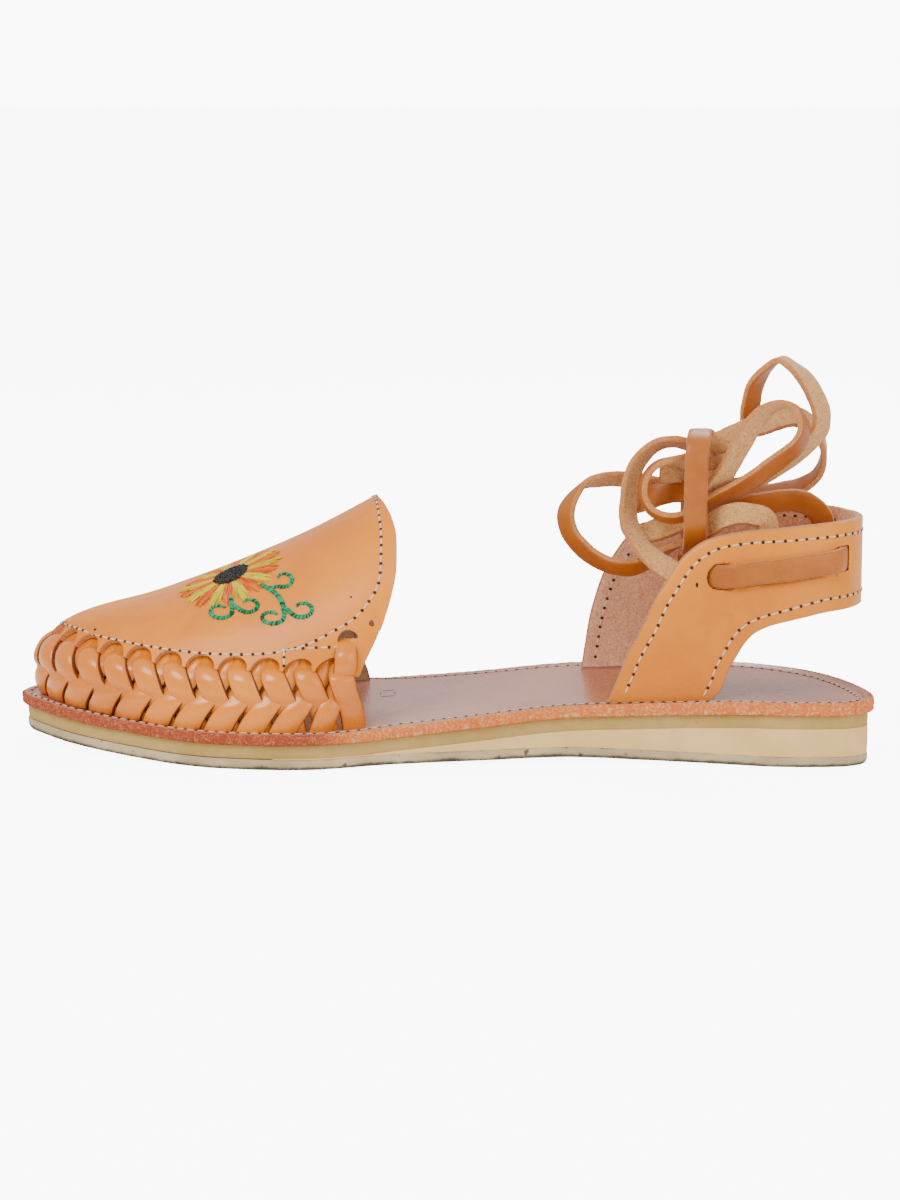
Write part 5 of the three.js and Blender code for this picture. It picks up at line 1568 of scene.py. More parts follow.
@dataclass
class PlaitedWall:
    """Crossing strips between the insole and the vamp's scallops."""

    dome: Dome
    weave: Weave
    sections: int = 26

    def strip(self, patches: Patches, table: Sequence[Row], foot: float, top: float, full: float,
              tone: float) -> None:
        """Add one strip.

        Args:
            patches: where it goes.
            table: height, reach, width, lift, behind and over at places up the strip.
            foot: length along the feather line at its foot.
            top: the same at its slot.
            full: height of the table's unit.
            tone: its own tone from 0 to 1.
        """
        weave = self.weave
        rows = np.array(table, float)
        heights = np.linspace(rows[0, 0], rows[-1, 0], self.sections)
        reach, wide, lift, behind, over = (TableCurve(rows[:, 0], rows[:, i])(heights) for i in range(1, 6))
        out = lift * weave.lift + behind * weave.behind + over * weave.over
        middle = blend(top, foot, reach)
        slot = self.dome.place(np.array(top), full)
        middle = middle + 0.85 * self.dome.drift(middle, self.dome.place(middle, heights * full), slot)
        half = wide * weave.width / 2 * math.hypot(top - foot, full) / full
        b = weave.thickness / 2
        corners = ((-0.95, -b), (-0.5, -0.9 * b), (0.0, -0.8 * b), (0.5, -0.9 * b), (0.95, -b), (1.0, -0.5 * b),
                   (0.985, 0.2 * b), (0.94, 0.52 * b), (0.84, 0.82 * b), (0.62, 1.12 * b), (0.32, 1.34 * b),
                   (0.0, 1.42 * b), (-0.32, 1.34 * b), (-0.62, 1.12 * b), (-0.84, 0.82 * b), (-0.94, 0.52 * b),
                   (-0.985, 0.2 * b), (-1.0, -0.5 * b))
        slots = [1, 1, 1, 1, 2, 2, 0, 0, 0, 0, 0, 0, 0, 0, 0, 2, 2, 2]
        shift = np.array([c[0] for c in corners])
        face = np.array([c[1] for c in corners])
        curl = np.maximum(1.0 - wide, 0.0)[:, None] * 1.7 * shift[None, :] ** 2
        length = middle[:, None] + shift[None, :] * half[:, None]
        rings = self.dome.point(length, self.dome.place(length, heights[:, None] * full),
                                out[:, None] + face[None, :] - curl)
        rings[0, :, 2] = self.dome.bed.insole_top(rings[0, :, 0])
        marks = np.stack(np.broadcast_arrays(np.abs(shift)[None, :], np.full((self.sections, 1), tone)), -1)
        patches.tube(rings, slots, marks, 1)

    def build(self, palette: Palette) -> bpy.types.Object:
        """Make the wall."""
        weave, dome = self.weave, self.dome
        outwards = ((0, 1.3, 1, -1, 0, 0), (0.16, 1.15, 1, -1, 0, 0), (0.34, 0.93, 1, -0.6, 0, 0),
                    (0.5, 0.68, 1, 1.2, 0, 0), (0.66, 0.44, 1, 1.3, 0, 0), (0.8, 0.24, 0.9, 0.7, 0.2, 0),
                    (0.92, 0.1, 0.72, 0, 0.9, 0), (1.04, 0.04, 0.5, 0, 1.1, 0))
        backwards = ((0, 1.04, 1, 0.9, 0, 0), (0.16, 0.9, 1, 1.4, 0, 0), (0.34, 0.7, 1, 0.9, 0, 0),
                     (0.5, 0.51, 1, -1, 0, 0), (0.66, 0.37, 0.98, -1, 0, 0), (0.84, 0.25, 0.8, -0.2, 0.75, 0),
                     (1.04, 0.15, 0.52, 0, 1.1, 0))
        outer_strap = ((0, 1, 1, 0.9, 0, 0), (0.13, 0.82, 1, 1.4, 0, 0), (0.28, 0.56, 1, 0.8, 0, 0),
                       (0.4, 0.34, 0.95, -0.9, 0, 0), (0.5, 0.14, 0.92, -0.6, 0, 0), (0.6, -0.02, 0.9, 0, 0, 0.4),
                       (0.72, -0.06, 0.88, 0, 0, 1), (0.84, -0.02, 0.84, 0, 0, 1), (0.96, 0, 0.8, 0, 0, 0.25),
                       (1.05, 0, 0.74, 0, 0.9, 0))
        inner_strap = ((0, 1, 1, -1, 0, 0), (0.11, 0.84, 1, -0.9, 0, 0), (0.3, 0.56, 1, 1, 0, 0),
                       (0.46, 0.32, 0.9, 1, 0, 0), (0.66, 0.1, 0.84, 0, 0, 1), (0.9, 0, 0.8, 0, 0, 1),
                       (1.03, 0, 0.76, 0, 0, 0.3), (1.12, 0, 0.72, 0, 0.8, 0))
        before_strap = ((0, 1.15, 1, 0, 0, 0), (0.16, 1.05, 1, 0.4, 0, 0), (0.34, 0.85, 1, 1.2, 0, 0),
                        (0.5, 0.62, 1, 2.6, 0, 0), (0.7, 0.4, 0.98, 3.2, 0, 0), (0.86, 0.3, 0.84, 0.5, 0.5, 0),
                        (1.04, 0.36, 0.52, 0, 1.1, 0))
        rng = np.random.default_rng(7)
        patches = Patches()
        for slot in weave.slots:
            rows = before_strap if slot == weave.first else outwards
            self.strip(patches, rows, slot - weave.out_reach, slot, weave.height, rng.random())
            self.strip(patches, backwards, slot + weave.back_reach, slot, weave.height, rng.random())
        tall = weave.strap_height
        outer_foot = weave.first - weave.pitch + weave.back_reach
        inner_foot = weave.last + weave.pitch - weave.out_reach
        self.strip(patches, outer_strap, outer_foot, weave.strap_reach, tall, 0.4)
        self.strip(patches, inner_strap, inner_foot, dome.total - weave.strap_reach, tall, 0.5)
        finishes = (palette.strips, palette.lining, palette.cut)
        piece = make_object("plaited_strips", patches, finishes, 60.0)
        return finish_piece(piece, "leather", "woven_wall")


@dataclass
class HeelBand:
    """Leather band round the heel, grain outside and flesh inside."""

    form: BandForm
    threaded: ThreadedLace
    stations: int = 120
    rows: int = 20

    def tables(self, side: int) -> tuple[TableCurve, ...]:
        """Curves of the upper edge's and the lower edge's back and rise along the band."""
        outer = ((0, 0, 0.397, 0), (0.03, 0.1, 0.438, 0.054), (0.075, 0.26, 0.468, 0.169),
                 (0.13, 0.41, 0.5, 0.25), (0.176, 0.557, 0.53, 0.322), (0.223, 0.672, 0.57, 0.38),
                 (0.29, 0.81, 0.635, 0.425), (0.387, 0.905, 0.7, 0.449), (0.52, 0.945, 0.76, 0.468),
                 (0.66, 0.968, 0.82, 0.485), (0.78, 0.985, 0.87, 0.494), (0.89, 0.995, 0.925, 0.497),
                 (0.97, 1, 0.975, 0.5))
        inner = ((0, 0, 0.397, 0), (0.012, 0.13, 0.435, 0.054), (0.028, 0.3, 0.468, 0.169),
                 (0.05, 0.443, 0.5, 0.25), (0.079, 0.584, 0.53, 0.322), (0.125, 0.72, 0.57, 0.38),
                 (0.19, 0.85, 0.635, 0.425), (0.29, 0.93, 0.7, 0.449), (0.44, 0.97, 0.76, 0.468),
                 (0.6, 0.99, 0.82, 0.485), (0.76, 1.01, 0.87, 0.494), (0.89, 1.01, 0.925, 0.497),
                 (0.97, 1, 0.975, 0.5))
        low = 1 - self.form.back_height / self.form.top
        rows = np.array((*(outer if side < 0 else inner), (1, 1, 1, low)))
        places = np.linspace(0.0, 1.0, len(rows))
        return tuple(TableCurve(places, rows[:, i]) for i in range(4))

    def places(self, side: int, along: Array, down: Array) -> tuple[Array, Array]:
        """Back and rise at places along and down the band.

        Args:
            side: -1 for the outer side, 1 for the inner.
            along: places from 0 at the foot to 1 at the back.
            down: places from 0 at the upper edge to 1 at the lower.

        Returns:
            Back and rise.
        """
        top_back, top_rise, low_back, low_rise = self.tables(side)
        back = blend(top_back(along), low_back(along), down)
        return back, blend(top_rise(along), low_rise(along), down)

    def half(self, side: int) -> Array:
        """Rings of one side, from the foot to the back."""
        share = np.linspace(0.0, 1.0, self.stations + 1)
        along = blend(1 - (1 - share) ** 2.4, share, 0.25)[:, None]
        thick = self.form.thickness
        outer = [(v, 0.0) for v in np.linspace(0.012, 0.988, self.rows)]
        ring = [(0.0, -0.45), *outer, (1.0, -0.45), (1.0, -thick + 0.45),
                *((v, -thick) for v, _ in reversed(outer)), (0.0, -thick + 0.45)]
        down = np.array([v for v, _ in ring])[None, :]
        out = np.array([o for _, o in ring])[None, :]
        back, rise = self.places(side, along, down)
        return self.form.point(side, back, rise, out)

    def slot_holes(self) -> Patches:
        """Cutters that round the front slots of both sides."""
        cut = Patches()
        angles = np.linspace(0.0, 2.0 * math.pi, 17)[:-1]
        front = self.form.back_x - self.threaded.bar_from_back - self.threaded.bar_length
        for side in (-1, 1):
            rings = []
            for out in (1.5, -self.form.thickness - 1.5):
                x = front - 0.1 + 2.6 * np.cos(angles)
                rise = (self.threaded.bar_height - self.threaded.bar_length * self.threaded.bar_slope
                        + 3.3 * np.sin(angles)) / self.form.top
                back = 1 - (self.form.back_x - x) / self.form.reach(side)
                rings.append(self.form.point(side, back, rise, out))
            cut.tube(np.stack(rings if side < 0 else rings[::-1]))
        return cut

    def build(self, palette: Palette) -> bpy.types.Object:
        """Make the band with its four lace slots."""
        left, right = self.half(-1), self.half(1)
        rings = np.concatenate((left, right[-2::-1]))
        slots = [2] + [0] * (self.rows - 1) + [2, 2, 2] + [1] * (self.rows - 1) + [2, 2]
        patches = Patches()
        patches.tube(rings, slots, None, 2)
        finishes = (palette.band, palette.flesh, palette.pale_cut)
        piece = make_object("heel_band_leather", patches, finishes, 50.0)
        passage = LaceForm(self.threaded.lace.width + 0.7, self.threaded.lace.thickness + 0.7, 0.0)
        hollow, _, _, _ = passage.rings(np.array(self.threaded.route()), 0, 0.0)
        cut = Patches()
        cut.tube(hollow)
        holes = self.slot_holes()
        cutter = make_object("passage", cut, (palette.pale_cut,), 50.0)
        slit = piece.modifiers.new("passage", "BOOLEAN")
        slit.object = cutter
        slit.solver = "EXACT"
        slit.material_mode = "TRANSFER"
        # The oval cutters leave the front slots' walls in this near-black finish: painted shade inside the slots.
        oval = make_object("slot_holes", holes, (palette.painted_hole_shade,), 50.0)
        rounding = piece.modifiers.new("slot_holes", "BOOLEAN")
        rounding.object = oval
        rounding.solver = "EXACT"
        rounding.material_mode = "TRANSFER"
        settle(piece)
        bpy.data.objects.remove(cutter)
        bpy.data.objects.remove(oval)
        return finish_piece(piece, "leather", "heel_band")


# Stitches and embroidery

class Surface:
    """Finds points of a finished piece along rays."""

    def __init__(self, piece: bpy.types.Object) -> None:
        """Sort the piece's faces."""
        corners = [vertex.co for vertex in piece.data.vertices]
        self.tree = BVHTree.FromPolygons(corners, [face.vertices[:] for face in piece.data.polygons])

    def hit(self, start: Array, go: Array) -> tuple[Array, Array] | None:
        """First point on a ray.

        Args:
            start: where the ray starts, in millimetres.
            go: its direction.

        Returns:
            The point and the normal towards the ray's start, or nothing.
        """
        place, normal, _, _ = self.tree.ray_cast(Vector(start * MM), Vector(go))
        if place is None:
            return None
        normal = unit(np.array(normal))
        return np.array(place) / MM, normal * -np.sign(float(normal @ go))

    def drape(self, points: Array, normals: Array, reach: float = 4.0) -> tuple[Array, Array]:
        """Lay a line onto the piece along its own normals, leaving out the places that miss."""
        found = [self.hit(point + normal * reach, -normal) for point, normal in zip(points, normals)]
        kept = [pair for pair in found if pair is not None]
        return np.array([place for place, _ in kept]), np.array([normal for _, normal in kept])


@dataclass
class Stitching:
    """Machine stitches with a flat dark bead of painted shade at each needle prick, set along lines by one
    Geometry Nodes tree.
    """

    palette: Palette
    pitch: float = 3.1
    thread_length: float = 2.5
    thread_width: float = 0.5
    prick_width: float = 1.0
    seed: int = 5

    def __post_init__(self) -> None:
        """Build the tree once."""
        group = bpy.data.node_groups.new("stitch_rows", "GeometryNodeTree")
        sides = group.interface
        sides.new_socket(name="Lines", in_out="INPUT", socket_type="NodeSocketGeometry")
        for name in ("Pitch", "Thread Length", "Thread Width", "Prick Width"):
            sides.new_socket(name=name, in_out="INPUT", socket_type="NodeSocketFloat")
        sides.new_socket(name="Seed", in_out="INPUT", socket_type="NodeSocketInt")
        for name in ("Thread", "Hole Shade"):
            sides.new_socket(name=name, in_out="INPUT", socket_type="NodeSocketMaterial")
        sides.new_socket(name="Stitches", in_out="OUTPUT", socket_type="NodeSocketGeometry")
        tree = Tree(group)
        given = tree.add("NodeGroupInput").outputs
        curve = tree.add("GeometryNodeMeshToCurve")
        tree.link(given["Lines"], curve.inputs["Mesh"])
        even = tree.add("GeometryNodeResampleCurve")
        even.mode = "LENGTH"
        tree.link(curve.outputs["Curve"], even.inputs["Curve"])
        tree.link(given["Pitch"], even.inputs["Length"])
        along = tree.add("FunctionNodeAlignRotationToVector", axis="X")
        tree.link(tree.add("GeometryNodeInputTangent").outputs["Tangent"], along.inputs["Vector"])
        upward = tree.add("FunctionNodeAlignRotationToVector", axis="Z", pivot_axis="X")
        tree.link(along.outputs["Rotation"], upward.inputs["Rotation"])
        up = tree.add("GeometryNodeInputNamedAttribute", {"Name": "up"}, data_type="FLOAT_VECTOR")
        tree.link(up.outputs["Attribute"], upward.inputs["Vector"])
        random = tree.add("FunctionNodeRandomValue", data_type="FLOAT_VECTOR")
        random.inputs[0].default_value = (0.88, 0.85, 0.85)
        random.inputs[1].default_value = (1.08, 1.15, 1.1)
        tree.link(given["Seed"], random.inputs["Seed"])
        half = tree.sum("MULTIPLY", given["Pitch"], 0.5)
        thread = self.bead(tree, given["Thread Length"], given["Thread Width"], 0.5, None)
        # A flat dark bead half a pitch along each stitch: painted shade of the needle's prick.
        stitch_hole_shade = self.bead(tree, given["Prick Width"], given["Prick Width"], 0.16, half)
        both = tree.add("GeometryNodeJoinGeometry")
        for shape, finish in ((stitch_hole_shade, given["Hole Shade"]), (thread, given["Thread"])):
            place = tree.add("GeometryNodeInstanceOnPoints")
            tree.link(even.outputs["Curve"], place.inputs["Points"])
            tree.link(shape, place.inputs["Instance"])
            tree.link(upward.outputs["Rotation"], place.inputs["Rotation"])
            tree.link(random.outputs[0], place.inputs["Scale"])
            real = tree.add("GeometryNodeRealizeInstances")
            tree.link(place.outputs["Instances"], real.inputs["Geometry"])
            dressed = tree.add("GeometryNodeSetMaterial")
            tree.link(real.outputs["Geometry"], dressed.inputs["Geometry"])
            tree.link(finish, dressed.inputs["Material"])
            tree.link(dressed.outputs["Geometry"], both.inputs["Geometry"])
        tree.link(both.outputs["Geometry"], tree.add("NodeGroupOutput").inputs["Stitches"])
        self.group = group

    @staticmethod
    def bead(tree: Tree, length: bpy.types.NodeSocket, width: bpy.types.NodeSocket, flat: float,
             shift: bpy.types.NodeSocket | None) -> bpy.types.NodeSocket:
        """Nodes of one rounded bead.

        Args:
            tree: where they go.
            length: its length.
            width: its width.
            flat: its height as a share of its width.
            shift: how far along it sits, if it is moved.

        Returns:
            Its geometry.
        """
        ball = tree.add("GeometryNodeMeshUVSphere", {"Segments": 8, "Rings": 5, "Radius": 0.5})
        size = tree.add("ShaderNodeCombineXYZ")
        tree.link(length, size.inputs[0])
        tree.link(width, size.inputs[1])
        tree.link(tree.sum("MULTIPLY", width, flat), size.inputs[2])
        formed = tree.add("GeometryNodeTransform")
        tree.link(ball.outputs["Mesh"], formed.inputs["Geometry"])
        tree.link(size.outputs[0], formed.inputs["Scale"])
        if shift is not None:
            moved = tree.add("ShaderNodeCombineXYZ")
            tree.link(shift, moved.inputs[0])
            tree.link(moved.outputs[0], formed.inputs["Translation"])
        return formed.outputs["Geometry"]

    def build(self, name: str, lines: Sequence[tuple[Array, Array]]) -> bpy.types.Object:
        """Stitch along lines.

        Args:
            name: the piece's name.
            lines: points and upward directions of each line.

        Returns:
            The piece.
        """
        mesh = bpy.data.meshes.new(name)
        starts = np.cumsum([0] + [len(points) for points, _ in lines])
        edges = [(int(start) + i, int(start) + i + 1)
                 for start, (points, _) in zip(starts, lines) for i in range(len(points) - 1)]
        mesh.from_pydata((np.vstack([points for points, _ in lines]) * MM).tolist(), edges, [])
        ups = mesh.attributes.new("up", "FLOAT_VECTOR", "POINT")
        ups.data.foreach_set("vector", np.vstack([up for _, up in lines]).ravel())
        piece = bpy.data.objects.new(name, mesh)
        bpy.context.scene.collection.objects.link(piece)
        rows = piece.modifiers.new("stitches", "NODES")
        rows.node_group = self.group
        values = {"Pitch": self.pitch * MM, "Thread Length": self.thread_length * MM,
                  "Thread Width": self.thread_width * MM, "Prick Width": self.prick_width * MM,
                  "Seed": self.seed, "Thread": self.palette.thread, "Hole Shade": self.palette.stitch_hole_shade}
        for item in self.group.interface.items_tree:
            if item.name in values:
                rows[item.identifier] = values[item.name]
        settle(piece)
        piece.data.shade_smooth()
        return finish_piece(piece, None)


@dataclass
class VampSeams:
    """Lines of the stitches on the vamp, by pixels of the photograph."""

    studio: Studio
    dome: Dome
    surface: Surface
    seam_pixels: tuple[Row, ...] = (
        (376, 499), (380.4, 526), (381, 553), (378.7, 582), (369, 601), (354.5, 618), (330, 633),
        (306, 645), (274.5, 652.6), (233, 654.5), (190, 652), (153, 647), (122, 641), (93, 635), (61, 623),
    )
    branch_pixels: tuple[tuple[Row, ...], ...] = (((284, 650), (310, 648), (337.5, 647)), ((284, 652), (284, 661)))

    def seen(self, pixels: Sequence[Row]) -> Array:
        """Points of the vamp under pixels."""
        found = [self.surface.hit(*self.studio.ray(*pixel)) for pixel in pixels]
        return np.array([pair[0] for pair in found if pair is not None])

    def mirrored(self, points: Array) -> Array:
        """The same places on the inner side."""
        length, t = np.meshgrid(np.linspace(0.0, self.dome.toe_length, 200), np.linspace(0.0, 0.99, 80))
        grid = self.dome.middle(length, t).reshape(-1, 3)
        nearest = [int(np.argmin(np.linalg.norm(grid - point, axis=1))) for point in points]
        share = self.dome.share(length.ravel()[nearest])
        return self.dome.middle(self.dome.length(1, share), t.ravel()[nearest])

    def lay(self, points: Array, closed: bool) -> tuple[Array, Array]:
        """Smooth a line through points and lay it onto the vamp."""
        line = spline(points, np.linspace(0.0, 1.0, 30 * len(points), endpoint=not closed), closed)
        heart = np.stack((line[:, 0] + 12.0, 0.0 * line[:, 1], np.full(len(line), 14.0)), -1)
        places, ups = self.surface.drape(line, unit(line - heart), 6.0)
        if closed:
            places, ups = np.vstack((places, places[:1])), np.vstack((ups, ups[:1]))
        return places + 0.1 * ups, ups

    def lines(self) -> list[tuple[Array, Array]]:
        """Every line with its upward directions."""
        outer = self.seen(self.seam_pixels)
        inner = self.mirrored(outer)[::-1]
        lines = [self.lay(np.vstack((outer, inner)), True)]
        for pixels in self.branch_pixels:
            near = self.seen(pixels)
            lines += [self.lay(near, False), self.lay(self.mirrored(near), False)]
        return lines


@dataclass(frozen=True)
class Curl:
    """A spiral of a tendril in pixels: its stem, middle, reach to the side and down, first angle and sweep."""

    stem: Row
    middle: Row
    reach: Row
    first: float
    sweep: float

    def pixels(self) -> Array:
        """Pixels along the spiral, from its stem inwards."""
        way = np.linspace(0.0, 1.0, 40)
        angle = np.radians(self.first + self.sweep * way)
        shrink = 1.0 - 0.45 * way**1.5
        round_it = np.stack((self.middle[0] + self.reach[0] * shrink * np.cos(angle),
                             self.middle[1] + self.reach[1] * shrink * np.sin(angle)), -1)
        return np.vstack((self.stem, round_it))


@dataclass
class Flower:
    """Embroidered sunflower with curled tendrils, thread by thread."""

    studio: Studio
    surface: Surface
    middle_pixel: Row = (231.0, 575.2)
    petals: int = 20
    threads: int = 8
    disc: float = 5.0
    reach: float = 16.6
    curls: tuple[Curl, ...] = (
        Curl((232.5, 606), (220.5, 611.0), (12.0, 7.6), 15.0, 300.0),
        Curl((231.5, 604), (248.5, 605.0), (11.0, 7.6), 150.0, -300.0),
        Curl((268, 588.5), (283.5, 579.5), (10.0, 7.6), 115.0, -285.0),
        Curl((285, 611), (272.0, 617.0), (12.0, 7.0), 10.0, 310.0),
        Curl((284.5, 608), (302.0, 609.0), (12.0, 8.6), 150.0, -290.0),
    )
    stem_pixels: tuple[tuple[Row, ...], ...] = (
        ((230.6, 597), (231.5, 603), (232.5, 609)), ((262, 585), (273.7, 592), (281, 600), (284.5, 613)),
    )
    # The darkest green, picked at random like the others, is painted shade of the dark dashes at the satin
    # stitches' edges.
    greens_and_stitch_shade: tuple[tuple, ...] = (srgb(8, 150, 96), srgb(0, 118, 74), srgb(24, 172, 116), srgb(0, 74, 44))
    yellows: tuple[tuple, ...] = (srgb(216, 192, 0), srgb(194, 166, 0), srgb(232, 212, 20))
    oranges: tuple[tuple, ...] = (srgb(226, 98, 0), srgb(208, 78, 0), srgb(234, 124, 0))
    darks: tuple[tuple, ...] = (srgb(34, 30, 30), srgb(18, 16, 18), srgb(58, 52, 50))

    def __post_init__(self) -> None:
        """Find the flower's place on the vamp."""
        self.rng = np.random.default_rng(19)
        self.patches = Patches()
        self.colours: list[Array] = []
        self.centre, self.normal = self.surface.hit(*self.studio.ray(*self.middle_pixel))
        self.across = unit(np.array((1.0, 0.0, 0.0)) - self.normal * self.normal[0])
        self.along = np.cross(self.normal, self.across)

    def at(self, radius: float, angle: float) -> tuple[Array, Array]:
        """Point and normal of the vamp at a radius and an angle from the flower's middle."""
        flat = self.centre + radius * (math.cos(angle) * self.across + math.sin(angle) * self.along)
        found = self.surface.hit(flat + 12.0 * self.normal, -self.normal)
        return found if found is not None else (flat, self.normal)

    def thread(self, start: Array, end: Array, up: Array, width: float, colour: tuple, rise: float) -> None:
        """Add one thread from prick to prick.

        Args:
            start: where it leaves the leather.
            end: where it enters it.
            up: direction out of the leather.
            width: its width.
            colour: its colour.
            rise: how high its middle stands.
        """
        way = np.array((0.0, 0.12, 0.5, 0.88, 1.0))
        path = blend(start, end, way[:, None]) + up * (rise * np.sin(math.pi * way) ** 0.5)[:, None]
        side = unit(np.cross(up, end - start))
        size = width / 2 * np.array((0.5, 0.9, 1.0, 0.9, 0.5))
        angles = np.linspace(0.0, 2.0 * math.pi, 7)[:-1]
        ring = np.cos(angles)[None, :, None] * side + 0.7 * np.sin(angles)[None, :, None] * up
        rings = path[:, None] + size[:, None, None] * ring
        self.patches.tube(rings)
        self.colours.append(np.tile(colour, (rings.shape[0] * rings.shape[1], 1)))

    def pick(self, colours: Sequence[tuple]) -> tuple:
        """One of several like colours."""
        return colours[int(self.rng.integers(len(colours)))]

    def petal(self, number: int) -> None:
        """Add the threads of one petal in two overlapping rows."""
        colours = (self.yellows, self.oranges)[number % 2]
        middle = 2.0 * math.pi * number / self.petals
        for j in range(self.threads):
            place = (j + 0.5) / self.threads - 0.5
            angle = middle + place * 2.0 * math.pi / self.petals * 0.98
            tip = self.reach - 4.2 * abs(2 * place) ** 2 - self.rng.uniform(0.0, 1.2)
            fold = blend(self.disc, tip, 0.5) + self.rng.uniform(-0.9, 0.9)
            for low, high in ((self.disc - 0.4, fold + 0.5), (fold - 0.5, tip)):
                start, up = self.at(low, angle + self.rng.uniform(-0.015, 0.015))
                end, _ = self.at(high, angle + self.rng.uniform(-0.02, 0.02))
                width = 2.0 * math.pi * (low + high) / 2 / self.petals / self.threads * 1.3
                self.thread(start, end, up, width, self.pick(colours), 0.35)

    def seeds(self) -> None:
        """Add the dark knots of the disc."""
        count = 190
        for i in range(count):
            radius = (self.disc + 0.3) * math.sqrt((i + 0.5) / count)
            angle = i * 2.39996
            place, up = self.at(radius, angle)
            turn = self.rng.uniform(0.0, math.pi)
            go = 0.75 * (math.cos(turn) * self.across + math.sin(turn) * self.along)
            self.thread(place - go, place + go, up, 0.5, self.pick(self.darks), 0.55)

    def cord(self, pixels: Sequence[Row], width: float, taper: bool) -> None:
        """Add a satin-stitched line along pixels."""
        found = [self.surface.hit(*self.studio.ray(*pixel)) for pixel in pixels]
        kept = [pair for pair in found if pair is not None]
        points, ups = np.array([pair[0] for pair in kept]), np.array([pair[1] for pair in kept])
        lengths = np.concatenate(([0.0], np.cumsum(np.linalg.norm(np.diff(points, axis=0), axis=1))))
        places = np.arange(0.0, lengths[-1], 0.36)
        line = np.stack([np.interp(places, lengths, points[:, i]) for i in range(3)], -1)
        up = unit(np.stack([np.interp(places, lengths, ups[:, i]) for i in range(3)], -1))
        ahead = directions(line)
        side = unit(np.cross(up, ahead))
        for i, place in enumerate(places):
            wide = width * (1.0 - 0.45 * (place / lengths[-1]) ** 3 if taper else 1.0)
            half = side[i] * (wide / 2 + self.rng.uniform(-0.05, 0.14))
            slant = ahead[i] * 0.3
            colour = self.pick(self.greens_and_stitch_shade)
            self.thread(line[i] - half - slant, line[i] + half + slant, up[i], 0.5, colour, 0.42)

    def build(self, palette: Palette) -> bpy.types.Object:
        """Make the embroidery."""
        for number in range(self.petals):
            self.petal(number)
        self.seeds()
        for pixels in self.stem_pixels:
            line = np.array(pixels, float)
            self.cord(spline(line, np.linspace(0.0, 1.0, 30)), 1.35, False)
        for curl in self.curls:
            self.cord(curl.pixels(), 1.3, True)
        piece = make_object("embroidery", self.patches, (palette.embroidery,), 70.0)
        painted = piece.data.attributes.new("thread_colour", "FLOAT_COLOR", "POINT")
        painted.data.foreach_set("color", np.vstack(self.colours).ravel())
        return finish_piece(piece, None)


def small_marks(studio: Studio, palette: Palette, vamp: Surface, heel: Surface, insole: Surface
                ) -> bpy.types.Object:
    """Painted shade of the vamp's pinhole, the band's nick and the punched outline on the insole, as dark discs
    laid on the surface.
    """
    patches = Patches()
    outline = ((380.5, 693.5, 1.7, 0.14), (395.0, 693.0, 1.7, 0.14), (387.8, 690.6, 0.2, 2.0),
               (387.8, 696.2, 0.2, 2.0))
    rows = [(vamp, 95.0, 629.5, 0.5, 0.5), (heel, 697.0, 585.0, 0.75, 0.4), (vamp, 351.0, 597.0, 0.3, 0.35)]
    rows += [(insole, *row) for row in ((r[0], r[1], r[2], r[3]) for r in outline)]
    angles = np.linspace(0.0, 2.0 * math.pi, 11)[:-1]
    for surface, right, down, tall, wide in rows:
        found = surface.hit(*studio.ray(right, down))
        if found is None:
            continue
        place, up = found
        across = unit(np.cross(up, (0.0, 1.0, 0.0)) if abs(up[2]) > 0.8 else np.cross((0.0, 0.0, 1.0), up))
        away = np.cross(up, across)
        ring = np.array([place + wide * math.cos(a) * across + tall * math.sin(a) * away for a in angles])
        patches.tube(np.stack([ring - 0.2 * up, ring + 0.05 * up]))
    piece = make_object("hole_shade_marks", patches, (palette.painted_hole_shade,), 40.0)
    return finish_piece(piece, None)


def band_lines(band: HeelBand, inset: float = 3.8) -> list[tuple[Array, Array]]:
    """Stitch lines along both edges of the heel band, outside and inside."""
    along = np.linspace(0.06, 1.0, 160)
    lines = []
    for outside in (True, False):
        for upper in (True, False):
            halves = []
            for side in (-1, 1):
                ends = [band.form.point(side, *band.places(side, along, np.full_like(along, down)), 0.0)
                        for down in (0.0, 1.0)]
                share = inset / np.linalg.norm(ends[1] - ends[0], axis=1)
                back, rise = band.places(side, along, share if upper else 1.0 - share)
                face = 0.1 if outside else -band.form.thickness - 0.1
                points = band.form.point(side, back, rise, face)
                normals = band.form.point(side, back, rise, face + 1.0) - points
                halves.append((points, normals if outside else -normals))
            (left, left_up), (right, right_up) = halves
            lines.append((np.vstack((left, right[-2::-1])), np.vstack((left_up, right_up[-2::-1]))))
    return lines


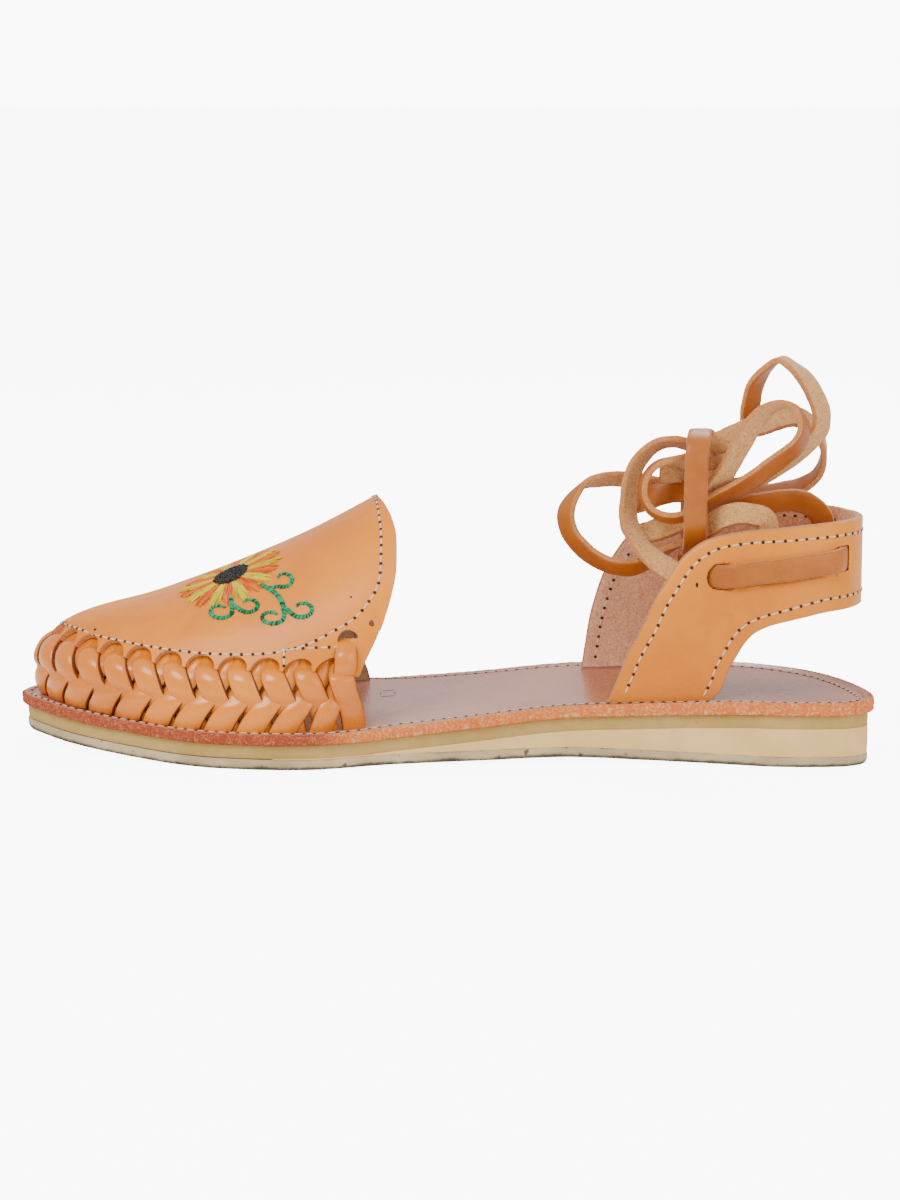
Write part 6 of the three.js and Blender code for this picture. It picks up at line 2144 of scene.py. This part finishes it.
def insole_line(bed: Footbed, surface: Surface) -> tuple[Array, Array]:
    """Stitch line round the insole, nearer to its edge beside the plaited wall."""
    turn = np.linspace(0.0, 1.0, 900)
    x = bed.edge(turn, 3.0)[:, 0]
    inset = 2.1 + 2.3 * smooth_step(x, bed.toe + 96.0, bed.toe + 116.0)
    points = bed.edge(turn, inset)
    points[:, 2] = 30.0
    places, ups = surface.drape(points, np.tile((0.0, 0.0, 1.0), (len(points), 1)), 60.0)
    return places + 0.1 * ups, ups


def main() -> None:
    """Build the sandal, camera and cords first."""
    logging.basicConfig(level=logging.INFO, format="%(name)s: %(message)s")
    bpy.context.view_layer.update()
    studio = Studio()
    studio.build()
    palette = Palette()
    bed = Footbed()
    lace = LaceForm()
    band = BandForm(bed)
    threaded = ThreadedLace(band, lace)
    FreeLace("lace_outer", lace, [*threaded.lead(-1), *OUTER_ROWS],
             ("lace_outer_lead", "lace_outer_loop", "lace_outer_end", "lace_knot"), 11).build(palette)
    FreeLace("lace_inner", lace, [*threaded.lead(1), *INNER_ROWS],
             ("lace_inner_lead", "lace_small_arc", "lace_rear_drop", "lace_front_ring", "lace_rear_loop",
              "lace_front_loop", "lace_inner_end"), 31).build(palette)
    threaded.build(palette)
    layers = (
        (SoleLayer("outsole_rubber", "outsole", bed.lift, bed.outsole_top, 0.5, 0.3, 41), palette.outsole,
         "outsole"),
        (SoleLayer("wedge_foam", "heel_wedge", lambda x: bed.outsole_top(x) + 0.02,
                   lambda x: np.maximum(bed.midsole_bottom(x) - 0.02, bed.outsole_top(x) + 0.06), 0.12, 0.1, 42,
                   0.44), palette.wedge, "wedge"),
        (SoleLayer("midsole_foam", "midsole", lambda x: bed.midsole_bottom(x) - 0.02,
                   lambda x: bed.midsole_top(x), 0.3, 0.12, 43), palette.midsole, "midsole"),
    )
    for layer, finish, slot in layers:
        finish_piece(layer.build(bed, finish), slot, layer.node)
    insole = Insole(bed).build(palette)
    dome = Dome(bed)
    weave = Weave(dome)
    vamp = Surface(Vamp(dome, weave).build(palette))
    PlaitedWall(dome, weave).build(palette)
    heel = HeelBand(band, threaded)
    heel_surface = Surface(heel.build(palette))
    stitching = Stitching(palette)
    stitching.build("vamp_stitches", VampSeams(studio, dome, vamp).lines())
    stitching.build("band_stitches", band_lines(heel))
    stitching.build("insole_stitches", [insole_line(bed, Surface(insole))])
    Flower(studio, vamp).build(palette)
    small_marks(studio, palette, vamp, heel_surface, Surface(insole))


if __name__ == "__main__":
    main()
